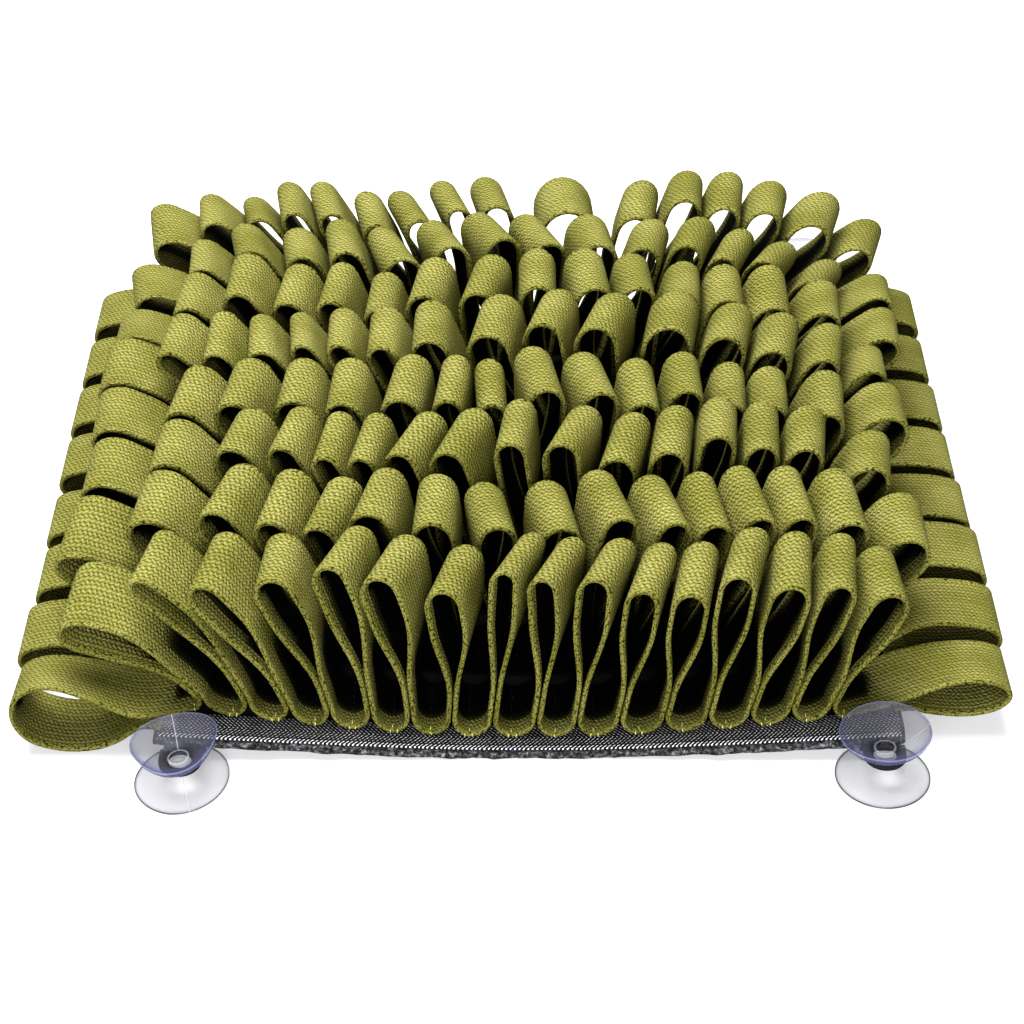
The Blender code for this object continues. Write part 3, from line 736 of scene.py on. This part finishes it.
def bent_grid(half_width, y_front, y_back, cells, middle_z):
    """A flat grid that follows the base's lift, in the frame, as a bmesh in mm."""
    body = bmesh.new()
    bmesh.ops.create_grid(body, x_segments=cells[0], y_segments=cells[1], size=1.0)
    for vert in body.verts:
        x = vert.co.x * half_width
        share = (vert.co.y + 1) / 2
        y = y_front + (y_back - y_front) * share
        vert.co = Vector((x, y, middle_z + lift(x)))
    return body


def place_piece(name, body, material):
    """A mesh in mm, moved to the frame in metres, as a new smooth object."""
    for vert in body.verts:
        vert.co = (vert.co + MIDDLE) * MM
    bmesh.ops.recalc_face_normals(body, faces=body.faces)
    piece = mesh_object(name, body)
    piece.data.materials.append(material)
    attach(piece, "root")
    return piece


def give_thickness(piece, thick, rounding):
    wall = piece.modifiers.new("thickness", "SOLIDIFY")
    wall.thickness = thick * MM
    wall.offset = 0.0
    rim = piece.modifiers.new("soft rim", "BEVEL")
    rim.width = rounding * MM
    rim.segments = 2
    rim.limit_method = "ANGLE"
    rim.angle_limit = math.radians(RIM_ANGLE)


print("the felt is lifted", lift(BASE_HALF_WIDTH), "mm at its sides")

# %% Felt base
FELT_CELLS = (106, 40)
EDGE_WANDER = 0.9  # mm
FRONT_PROUD = 1.3  # mm: the worn front edge bulges this far forward
FELT_FIBRES = 1.5  # to a mm
FELT_CLUMPS = 0.56  # to a mm


def grey_felt():
    # fibres in all directions leave it quite dull, with pale clumps among the dark
    material, shader, add = new_material("needled grey felt")
    place = add("TexCoord", output="Object")
    fibres = add("TexNoise", {"Vector": place, "Scale": FELT_FIBRES / MM, "Detail": 4.0,
                              "Roughness": 0.7}, "Fac")
    clumps = add("TexNoise", {"Vector": place, "Scale": FELT_CLUMPS / MM, "Detail": 3.0},
                 "Fac")
    mixed = add("Math", {0: clumps, 1: 0.6}, operation="MULTIPLY")
    mixed = add("Math", {0: fibres, 1: 0.45, 2: mixed}, operation="MULTIPLY_ADD")
    shade = add("ValToRGB", {"Fac": mixed}, stops=[
        (0.42, "09090A"), (0.50, "2C2C2E"), (0.58, "585859"), (0.68, "949496")])
    # painted shade: under the rows its top is darkened almost to black, and only its rim keeps its own
    # colour
    air = add("Attribute", output="Fac", attribute_name="painted_light")
    dark = add("ValToRGB", {"Fac": air}, stops=[(0.0, "060606"), (1.0, "FFFFFF")])
    with_painted_shade = add("Mix", {"Factor": 1.0, 6: shade, 7: dark}, 2, data_type="RGBA",
                 blend_type="MULTIPLY")
    bump = add("Bump", {"Height": mixed, "Strength": 0.9, "Distance": 0.9 * MM})
    set_inputs(shader, {"Base Color": with_painted_shade, "Normal": bump, "Roughness": 0.95})
    return material


def make_base():
    body = bent_grid(BASE_HALF_WIDTH, FRONT_EDGE - FRONT_PROUD, BASE_HALF_DEPTH, FELT_CELLS,
                     BASE_THICK / 2)
    painted_light_layer = body.verts.layers.float.new("painted_light")
    for vert in body.verts:
        # painted shade: the rim is left lit and the top under the rows is darkened
        vert[painted_light_layer] = 1.0 if vert.is_boundary else 0.0
        if vert.is_boundary:
            wander = noise.noise(vert.co * 0.11) + 0.6 * noise.noise(vert.co * 0.35)
            inward = Vector((vert.co.x / BASE_HALF_WIDTH, vert.co.y / BASE_HALF_DEPTH, 0))
            vert.co -= inward * EDGE_WANDER * wander
    base = place_piece("felt_base", body, grey_felt())
    give_thickness(base, BASE_THICK, 0.7)
    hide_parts("base_felt")
    return base


felt_base = make_base()
print("felt base:", len(felt_base.data.polygons), "faces before thickness")

# %% [markdown]
# ## Herringbone tape
#
# The tape is woven from black ends with white picks. The picks float over the black in slanted
# strokes, and the slant turns round along the middle of the tape, which gives the herringbone. A
# heavier cord of white strokes runs along its front edge. The phase of a stroke grows along the
# tape, and with the distance from the middle.

# %% Tape
STROKE_PITCH = 1.85  # mm along the tape
STROKE_SLOPE = 0.95
SPINE = 7.2  # mm from the front edge to where the slant turns
EDGE_CORD = 2.6  # width of the heavier strokes at the front edge
FLOAT_PITCH = 1.4  # mm across the tape, from one grain of a stroke to the next
SHAKE = 0.6  # mm, how far a stroke strays
SHAKE_WAVES = 0.24  # to a mm
TAPE_FIBRES = 0.9  # to a mm
TAPE_CELLS = (160, 8)
TAPE_FRONT = FRONT_EDGE + TAPE_INSET - FRONT_PROUD


def herringbone_tape():
    # a close weave of smooth yarn, flatter and a little shinier than the webbing
    material, shader, add = new_material("woven herringbone tape, black and white")
    place = add("TexCoord", output="Object")
    shaken = add("TexNoise", {"Vector": place, "Scale": SHAKE_WAVES / MM, "Detail": 2.0},
                 "Color")
    moved = add("VectorMath", {0: shaken, 1: (SHAKE * MM, SHAKE * MM, 0.0), 2: place},
                operation="MULTIPLY_ADD")
    x = add("SeparateXYZ", {0: moved}, "X")
    y = add("SeparateXYZ", {0: moved}, "Y")
    along = add("Math", {0: x, 1: 1 / MM}, operation="MULTIPLY")
    across = add("Math", {0: y, 1: (TAPE_FRONT + MIDDLE.y) * MM}, operation="SUBTRACT")
    across = add("Math", {0: across, 1: 1 / MM}, operation="MULTIPLY")
    from_spine = add("Math", {0: across, 1: SPINE}, operation="SUBTRACT")
    from_spine = add("Math", {0: from_spine}, operation="ABSOLUTE")
    phase = add("Math", {0: from_spine, 1: STROKE_SLOPE, 2: along}, operation="MULTIPLY_ADD")
    phase = add("Math", {0: phase, 1: STROKE_PITCH}, operation="DIVIDE")
    in_stroke = add("Math", {0: phase}, operation="FRACT")
    in_stroke = add("Math", {0: in_stroke, 1: 0.5}, operation="SUBTRACT")
    in_stroke = add("Math", {0: in_stroke}, operation="ABSOLUTE")
    # floats: each stroke is a chain of short grains, one to each pick
    chain = add("Math", {0: across, 1: math.tau / FLOAT_PITCH}, operation="MULTIPLY")
    chain = add("Math", {0: chain}, operation="SINE")
    fibres = add("TexNoise", {"Vector": place, "Scale": TAPE_FIBRES / MM, "Detail": 2.0}, "Fac")
    grains = add("Math", {0: fibres, 1: 0.5, 2: 0.76}, operation="MULTIPLY_ADD")
    grains = add("Math", {0: chain, 1: 0.18, 2: grains}, operation="MULTIPLY_ADD")
    strokes = add("Math", {0: in_stroke, 1: -2.9, 2: grains}, operation="MULTIPLY_ADD")
    cord = add("Math", {0: across, 1: EDGE_CORD}, operation="LESS_THAN")
    boosted = add("Math", {0: cord, 1: 0.22, 2: strokes}, operation="MULTIPLY_ADD")
    # the gap between the edge cord and the herringbone
    gap = add("Math", {0: across, 1: EDGE_CORD}, operation="SUBTRACT")
    gap = add("Math", {0: gap}, operation="ABSOLUTE")
    gap = add("Math", {0: gap, 1: 2.2}, operation="MULTIPLY", use_clamp=True)
    height = add("Math", {0: boosted, 1: gap}, operation="MULTIPLY")
    shade = add("ValToRGB", {"Fac": height}, stops=[
        (0.42, "030304"), (0.62, "1F2023"), (0.80, "8A8B90"), (1.0, "E6E6EA")])
    bump = add("Bump", {"Height": height, "Strength": 0.8, "Distance": 0.4 * MM})
    set_inputs(shader, {"Base Color": shade, "Normal": bump, "Roughness": 0.55})
    return material


def make_tape():
    body = bent_grid(BASE_HALF_WIDTH - TAPE_INSET, TAPE_FRONT, TAPE_FRONT + TAPE_WIDTH,
                     TAPE_CELLS, BASE_THICK + GAP + TAPE_THICK / 2)
    for vert in body.verts:
        if vert.is_boundary:
            vert.co.y += 0.25 * noise.noise(vert.co * 0.2)
    tape = place_piece("herringbone_tape", body, herringbone_tape())
    give_thickness(tape, TAPE_THICK, 0.35)
    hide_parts("front_tape")
    return tape


tape = make_tape()
print("tape:", [round(size * 1000) for size in tape.dimensions], "mm")

# %% [markdown]
# ## Corner tabs
#
# Each tab is a short black strap with a round end and a hole, so the neck of a cup can be pushed
# through. A ring of faces goes round the hole, its back is squared to the strap's width, and the
# strap is extruded from there step by step, down to the underside of the felt.

# %% Tabs
NECK_LEVEL = 11.8
TAB_RADIUS = 9.0
TAB_THICK = 1.5
TAB_HOLE_RADIUS = 4.8
TAB_UNDER_BASE = 14.0  # how far its tail reaches in under the felt
TAB_LEVEL_TO = 5.0  # from the hole to where the strap starts to fall
TAIL_STEPS = 10
TAB_FIBRES = 1.4  # to a mm
# corner: its X, its end, how far the cup's centre stands out from the felt's edge
CORNERS = {
    "front_left": (-145.5, -1, 15.0),
    "front_right": (148.4, -1, 11.3),
    "back_left": (-148.0, 1, 22.5),
    "back_right": (148.0, 1, 22.5),
}


def black_tab():
    # its face is brushed up, so it is matt, with a few grey fibres in the black
    material, shader, add = new_material("black felted strap")
    place = add("TexCoord", output="Object")
    fibres = add("TexNoise", {"Vector": place, "Scale": TAB_FIBRES / MM, "Detail": 3.0}, "Fac")
    shade = add("ValToRGB", {"Fac": fibres}, stops=[
        (0.4, "060607"), (0.6, "1B1B1D"), (0.8, "3A3A3D")])
    bump = add("Bump", {"Height": fibres, "Strength": 0.6, "Distance": 0.3 * MM})
    set_inputs(shader, {"Base Color": shade, "Normal": bump, "Roughness": 0.85})
    return material


def make_tab(corner, material):
    x, end, out = CORNERS[corner]
    body = bmesh.new()
    bmesh.ops.create_circle(body, segments=40, radius=TAB_HOLE_RADIUS)
    rim = bmesh.ops.extrude_edge_only(body, edges=body.edges[:])["geom"]
    for vert in (item for item in rim if isinstance(item, bmesh.types.BMVert)):
        # round in front of the hole, square behind it
        way = vert.co.normalized()
        reach = TAB_RADIUS / (max(abs(way.x), way.y) if way.y > 0 else 1.0)
        vert.co = way * reach
    back = [edge for edge in body.edges
            if all(abs(vert.co.y - TAB_RADIUS) < 0.01 for vert in edge.verts)]
    tail = out + TAB_UNDER_BASE - TAB_RADIUS
    for _ in range(TAIL_STEPS):
        grown = bmesh.ops.extrude_edge_only(body, edges=back)["geom"]
        fresh = [item for item in grown if isinstance(item, bmesh.types.BMVert)]
        bmesh.ops.translate(body, verts=fresh, vec=(0, tail / TAIL_STEPS, 0))
        back = [item for item in grown if isinstance(item, bmesh.types.BMEdge)
                and all(vert in fresh for vert in item.verts)]
    bmesh.ops.subdivide_edges(body, edges=body.edges, cuts=1)
    under = lift(abs(x) - TAB_RADIUS) - GAP - TAB_THICK / 2
    slope = out - GAP - TAB_LEVEL_TO
    for vert in body.verts:
        fall = smooth_step((vert.co.y - TAB_LEVEL_TO) / slope)
        vert.co.z = NECK_LEVEL - (NECK_LEVEL - under) * fall
        vert.co.y *= -end
        vert.co.x += x
        vert.co.y += end * (BASE_HALF_DEPTH + out)
    tab = place_piece(f"strap_tab_{corner}", body, material)
    give_thickness(tab, TAB_THICK, 0.35)
    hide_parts(f"tab_{corner}")
    return tab


tab_material = black_tab()
tabs = {corner: make_tab(corner, tab_material) for corner in CORNERS}
print("tabs:", len(tabs))

# %% [markdown]
# ## Double suction cups
#
# Each cup is one moulding of clear soft PVC: a bowl that faces up, a bowl that faces down, and a
# neck between them. Half of its section is drawn once and spun a full turn. The soft bowls are
# never quite true: each upper bowl leans, is pressed in and pulled to three soft corners, and
# its rim follows a slow wave. The mould leaves one fine crease in each bowl, drawn as a thin
# whitish line of painted highlight. A pale ring round the upper bowl's button and its pale rim
# are painted highlights too. Clear PVC covers little where it is seen square on and turns violet
# where it is seen along its wall.

# %% Cup sizes
CUP_RADIUS = 20.0
CUP_STEPS = 72
# r, z down the outside and back: button, upper bowl inside, rim, outside, neck, lower bowl
CUP_SECTION = (
    (0.0, 15.2), (1.6, 15.2), (2.4, 15.5), (3.4, 16.1), (4.4, 16.2), (4.9, 16.0), (5.0, 15.8),
    (6.0, 15.8), (8.5, 16.8), (12.0, 18.9), (15.5, 21.4), (17.8, 23.6), (18.9, 25.0),
    (19.3, 25.25), (19.5, 24.9), (18.6, 22.9), (16.2, 20.0), (12.6, 17.2), (9.0, 15.1),
    (6.0, 14.2), (4.2, 13.6), (4.0, 12.8), (4.0, 10.8), (4.2, 9.9), (6.0, 9.1), (9.0, 7.6),
    (12.6, 5.2), (16.0, 2.6), (18.6, 1.0), (20.0, 0.55), (20.0, 0.1), (19.6, 0.0), (18.2, 0.25),
    (15.6, 1.6), (12.0, 4.1), (8.6, 6.2), (5.0, 7.2), (0.0, 7.6),
)
# lean_x, lean_y: of the upper bowl, in degrees. press: how far down it is pushed. sag: wave of
# its rim. size: what its rim is pressed in to. lobe, lobe_at: how far and where, in degrees, it
# is pulled to a corner. rise: how far the lower bowl's right side stands up. crease, low_crease:
# where a moulding crease runs out over the upper and the lower bowl, in degrees
CUPS = {
    "front_left": (0.0, -8.0, 2.0, 1.0, 0.94, 0.05, 35.0, 1.9, 99.0, -75.0),
    "front_right": (-2.0, -4.0, 0.0, 0.4, 0.98, 0.01, 200.0, 0.0, 8.0, -35.0),
    "back_left": (-3.0, 2.0, 0.5, 0.6, 0.98, 0.02, 80.0, 0.0, 150.0, 60.0),
    "back_right": (2.0, -3.0, 0.0, 0.6, 0.97, 0.02, 20.0, 0.0, 60.0, 120.0),
}
CREASE = 0.3  # mm, half of its width
BUTTON_LEVEL = 15.0  # mm, over which the middle of the upper bowl is its button
BUTTON_SHARE = 0.26  # of the cup's radius, out to the button's edge
RIM_SHARE = 0.985  # and where the rim's thin dark line starts
FALL_SHARE = 0.3  # and where the neck ends
print("a cup is", max(z for _, z in CUP_SECTION), "mm high and", 2 * CUP_RADIUS, "mm wide")

# %% Clear PVC


def clear_pvc():
    material, shader, add = new_material("moulded clear soft PVC")
    uv = add("UVMap", output="UV")
    radius = add("SeparateXYZ", {0: uv}, "X")
    turn = add("SeparateXYZ", {0: uv}, "Y")
    upper = add("Attribute", output="Fac", attribute_name="upper")
    # the lower bowl is a plain pale grey with a dark rim; the upper one has a glassy button with a pale
    # ring round it, and a pale rim, both painted highlights
    lower_shade = add("ValToRGB", {"Fac": radius}, stops=[
        (0.0, "707078"), (0.5, "7E7E84"), (0.93, "74747C"), (0.965, "4A4B55"), (1.0, "20222E")])
    upper_shade = add("ValToRGB", {"Fac": radius}, stops=[
        (0.0, "50525E"), (0.18, "42444E"), (0.205, "A8A8B4"), (0.225, "A8A8B4"),
        (0.245, "54555E"), (0.34, "66666F"), (0.88, "6A6A72"), (0.94, "5E6072"),
        (0.975, "9092A2")])
    plain = add("Mix", {"Factor": upper, 6: lower_shade, 7: upper_shade}, 2, data_type="RGBA")
    # the button, and most of all its ring of painted highlight, hides more of what lies behind
    ring = add("ValToRGB", {"Fac": radius}, stops=[
        (0.0, "303030"), (0.18, "303030"), (0.205, "909090"), (0.225, "909090"),
        (0.245, "101010"), (0.27, "000000")])
    body_cover = add("ValToRGB", {"Fac": radius}, stops=[
        (0.0, "303030"), (0.30, "505050"), (0.40, "808080"), (0.62, "8C8C8C"),
        (0.93, "909090"), (0.965, "A8A8A8"), (1.0, "D8D8D8")])
    button = add("Attribute", output="Fac", attribute_name="button")
    cover = add("Math", {0: ring, 1: button, 2: body_cover}, operation="MULTIPLY_ADD")
    # seen along its wall, the PVC is violet and hides more, and only so in the upper bowl
    steep = add("LayerWeight", {"Blend": 0.5}, "Facing")
    steep = add("Math", {0: steep, 1: 3.5}, operation="POWER")
    steep = add("Math", {0: steep, 1: upper}, operation="MULTIPLY")
    violet = add("Mix", {"Factor": steep, 6: plain, 7: linear("2C3488")}, 2, data_type="RGBA")
    # a moulding crease runs from the neck to the rim, drawn as a thin whitish line of painted highlight
    from_crease = add("Math", {0: turn, 1: 0.5}, operation="SUBTRACT")
    from_crease = add("Math", {0: from_crease}, operation="ABSOLUTE")
    from_crease = add("Math", {0: from_crease, 1: radius}, operation="MULTIPLY")
    crease = add("Math", {0: from_crease, 1: -math.tau * CUP_RADIUS / CREASE, 2: 1.0},
                 operation="MULTIPLY_ADD", use_clamp=True)
    past_neck = add("Math", {0: radius, 1: FALL_SHARE}, operation="GREATER_THAN")
    line = add("Math", {0: crease, 1: past_neck}, operation="MULTIPLY")
    pale = add("Mix", {"Factor": line, 6: violet, 7: linear("B4B4C0")}, 2, data_type="RGBA")
    # the lower bowl's wall is the clearer one, but not at its rim
    share = add("Math", {0: upper, 1: 0.38, 2: 0.62}, operation="MULTIPLY_ADD")
    at_rim = add("Math", {0: radius, 1: RIM_SHARE}, operation="GREATER_THAN")
    share = add("Math", {0: share, 1: at_rim}, operation="MAXIMUM")
    wall = add("Math", {0: cover, 1: share}, operation="MULTIPLY")
    wall = add("Math", {0: steep, 1: 0.8, 2: wall}, operation="MULTIPLY_ADD")
    # the crease's line of painted highlight also hides more
    alpha = add("Math", {0: line, 1: 0.28, 2: wall}, operation="MULTIPLY_ADD", use_clamp=True)
    set_inputs(shader, {"Base Color": pale, "Alpha": alpha, "Roughness": 0.22,
                        "Specular IOR Level": 0.25, "IOR": 1.4})
    return material


pvc = clear_pvc()
print("nodes in the PVC:", len(pvc.node_tree.nodes))


# %% Cups
def make_cup(corner, material):
    x, end, out = CORNERS[corner]
    lean_x, lean_y, press, sag, size, lobe, lobe_at, rise, crease, low_crease = CUPS[corner]
    body = bmesh.new()
    uv = body.loops.layers.uv.new("UVMap")
    verts = [body.verts.new((radius, 0, z)) for radius, z in CUP_SECTION]
    edges = [body.edges.new(pair) for pair in zip(verts, verts[1:])]
    bmesh.ops.spin(body, geom=verts + edges, axis=(0, 0, 1), angle=math.tau,
                   steps=CUP_STEPS, use_merge=True)
    bmesh.ops.remove_doubles(body, verts=body.verts, dist=0.01)
    for face in body.faces:
        # U: share of the radius. V: share of a turn, 0.5 at the crease
        centre = face.calc_center_median()
        way = math.radians(crease if centre.z > NECK_LEVEL else low_crease)
        facing = Vector((math.cos(way), math.sin(way)))
        middle = facing.angle_signed(centre.xy, 0.0)
        for corner_loop in face.loops:
            spot = corner_loop.vert.co.xy
            turned = middle + centre.xy.angle_signed(spot, 0.0)
            corner_loop[uv].uv = (spot.length / CUP_RADIUS, 0.5 + turned / math.tau)
    upper = body.verts.layers.float.new("upper")
    button = body.verts.layers.float.new("button")
    hinge = Vector((0, 0, NECK_LEVEL))
    turn = Matrix.Rotation(math.radians(lean_x), 3, "X") @ Matrix.Rotation(
        math.radians(lean_y), 3, "Y")
    for vert in body.verts:
        share = vert.co.xy.length / CUP_RADIUS
        angle = math.atan2(vert.co.y, vert.co.x)
        vert[button] = float(vert.co.z > BUTTON_LEVEL and share < BUTTON_SHARE)
        if vert.co.z > NECK_LEVEL:
            vert[upper] = 1.0
            corners = math.cos(3 * (angle - math.radians(lobe_at)))
            grown = 1 + share ** 2 * (size - 1 + lobe * corners)
            wave = math.sin(2 * angle + 0.6) + 0.5 * math.sin(3 * angle + 2.0)
            vert.co.x *= grown
            vert.co.y *= grown
            vert.co.z += sag * share ** 3 * wave * 0.5
            lean = smooth_step((vert.co.z - NECK_LEVEL) / 3)
            vert.co = vert.co.lerp(hinge + turn @ (vert.co - hinge), lean)
            vert.co.z -= press * lean
        else:
            raised = rise * (0.8 + math.cos(angle) + 0.6 * math.sin(angle))
            vert.co.z += max(raised, 0.0) * smooth_step((share - FALL_SHARE) / (1 - FALL_SHARE))
        vert.co += Vector((x, end * (BASE_HALF_DEPTH + out), 0))
    piece = place_piece(f"clear_cup_{corner}", body, material)
    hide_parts(f"cup_{corner}")
    return piece


cups = {corner: make_cup(corner, pvc) for corner in CORNERS}
print("cups:", len(cups), "of", len(cups["front_left"].data.polygons), "faces")

# %% [markdown]
# ## Stitches
#
# The strips are sewn down with a pale yellow thread along every seam, from one woven edge to the
# other. A stitch is a small sunken grain of thread. At the front edge the last one turns over the
# edge, where it shows as a short upright mark.

# %% Stitches
STITCH_PITCH = 4.2
STITCHES = 7  # from a seam's front to its back
FIRST_STITCH = 2.6  # mm in from the woven edge
THREAD = 0.55  # mm thick
THREAD_STRANDS = 2.5  # to a mm


def add_stitch(body, place, size, air, tilt=0.0):
    grain = bmesh.ops.create_icosphere(body, subdivisions=1, radius=1.0)["verts"]
    for vert in grain:
        # painted shade: the stitch's share of light, by which its colour is darkened
        vert[body.verts.layers.float["painted_light"]] = air
    bmesh.ops.scale(body, verts=grain, vec=size)
    bmesh.ops.rotate(body, verts=grain, matrix=Matrix.Rotation(tilt, 3, "Y"))
    bmesh.ops.translate(body, verts=grain, vec=place)


def pale_thread():
    # tightly spun, so a stitch is smoother and far paler than the cotton round it
    material, shader, add = new_material("pale yellow sewing thread")
    place = add("TexCoord", output="Object")
    strand = add("TexNoise", {"Vector": place, "Scale": THREAD_STRANDS / MM, "Detail": 2.0},
                 "Fac")
    bright = add("ValToRGB", {"Fac": strand}, stops=[(0.35, "A9A75A"), (0.65, "E9E6A8")])
    # painted shade: stitches deep in the folds are darkened
    air = add("Attribute", output="Fac", attribute_name="painted_light")
    dark = add("ValToRGB", {"Fac": air}, stops=[(0.0, "040404"), (1.0, "FFFFFF")])
    with_painted_shade = add("Mix", {"Factor": 1.0, 6: bright, 7: dark}, 2, data_type="RGBA",
                 blend_type="MULTIPLY")
    set_inputs(shader, {"Base Color": with_painted_shade, "Roughness": 0.6})
    return material


def make_stitches():
    body = bmesh.new()
    body.verts.layers.float.new("painted_light")
    for row in range(ROWS):
        for seam in range(SEAMS):
            x = seam_x(seam, row)
            top = seat(x, row) + HALF_THICK
            front = row_front(row) + bow(x)
            for step in range(STITCHES):
                y = front + FIRST_STITCH + STITCH_PITCH * step
                jog = random.uniform(-0.3, 0.3)
                across = (y - front) / WEBBING_WIDTH
                # painted shade: how much light gets to this stitch, which darkens its colour
                air = (painted_light(across, 1, 0.0, 1.0) * edge_light(row, across, x, top)) ** 2
                add_stitch(body, (x + jog, y, top + 0.05), (THREAD / 2, 1.5, THREAD / 2), air)
            for offset in (-1.4, 1.6) if seam % 3 else (0.2,):
                spot = (x + offset + random.uniform(-0.4, 0.4), front - 0.1, top - 0.9)
                tilt = random.uniform(-0.25, 0.25)
                add_stitch(body, spot, (THREAD / 2, THREAD / 2, 1.3),
                           edge_light(row, 0.0, x, top), tilt)
    stitches = place_piece("stitches", body, pale_thread())
    return stitches


stitches = make_stitches()
print("stitches:", len(stitches.data.polygons), "faces")

# %% [markdown]
# ## Floor and light
#
# Two lights do the work: a very large soft one overhead, a little to the back, that makes the
# crests bright and leaves the hollows dark, and a weaker one low in front that lights the front
# row. A white floor would throw light into the hollows, so this one glows a little to the camera
# only and returns less light to the mat.

# %% Stage
FLOOR_SIZE = 6.0  # metres
LIGHT_AIM = Vector((0.0, 0.0, 0.05))
ROOM_LIGHT = 0.22


def plain_floor():
    body = bmesh.new()
    bmesh.ops.create_grid(body, x_segments=1, y_segments=1, size=FLOOR_SIZE / 2)
    floor = mesh_object("floor", body)
    material, shader, add = new_material("matte white paper")
    seen = add("LightPath", output="Is Camera Ray")
    white = add("ValToRGB", {"Fac": seen}, stops=[(0.0, "B0B0B2"), (1.0, "B8B8BA")])
    glow = add("ValToRGB", {"Fac": seen}, stops=[(0.0, "000000"), (1.0, "E8E8EA")])
    set_inputs(shader, {"Base Color": white, "Emission Color": glow, "Emission Strength": 0.3,
                        "Roughness": 0.9, "Specular IOR Level": 0.1})
    floor.data.materials.append(material)


def soft_light(name, place, size, power):
    """A round light at a place in metres, that faces the middle of the mat."""
    data = bpy.data.lights.new(name, "AREA")
    data.shape = "DISK"
    data.size = size
    data.energy = power
    light = new_object(name, data)
    light.location = place
    light.rotation_euler = (LIGHT_AIM - Vector(place)).to_track_quat("-Z", "Y").to_euler()


plain_floor()
soft_light("overhead softbox", (-0.24, 0.33, 1.5), 1.3, 51.0)
soft_light("front fill", (0.0, -1.5, 0.75), 0.9, 30.0)
world = bpy.data.worlds.new("pale room")
world.use_nodes = True
set_inputs(world.node_tree.nodes["Background"], {
    "Color": linear("FFFFFF"), "Strength": ROOM_LIGHT})
scene = bpy.context.scene
scene.world = world
scene.view_settings.view_transform = "Standard"
scene.view_settings.look = "High Contrast"
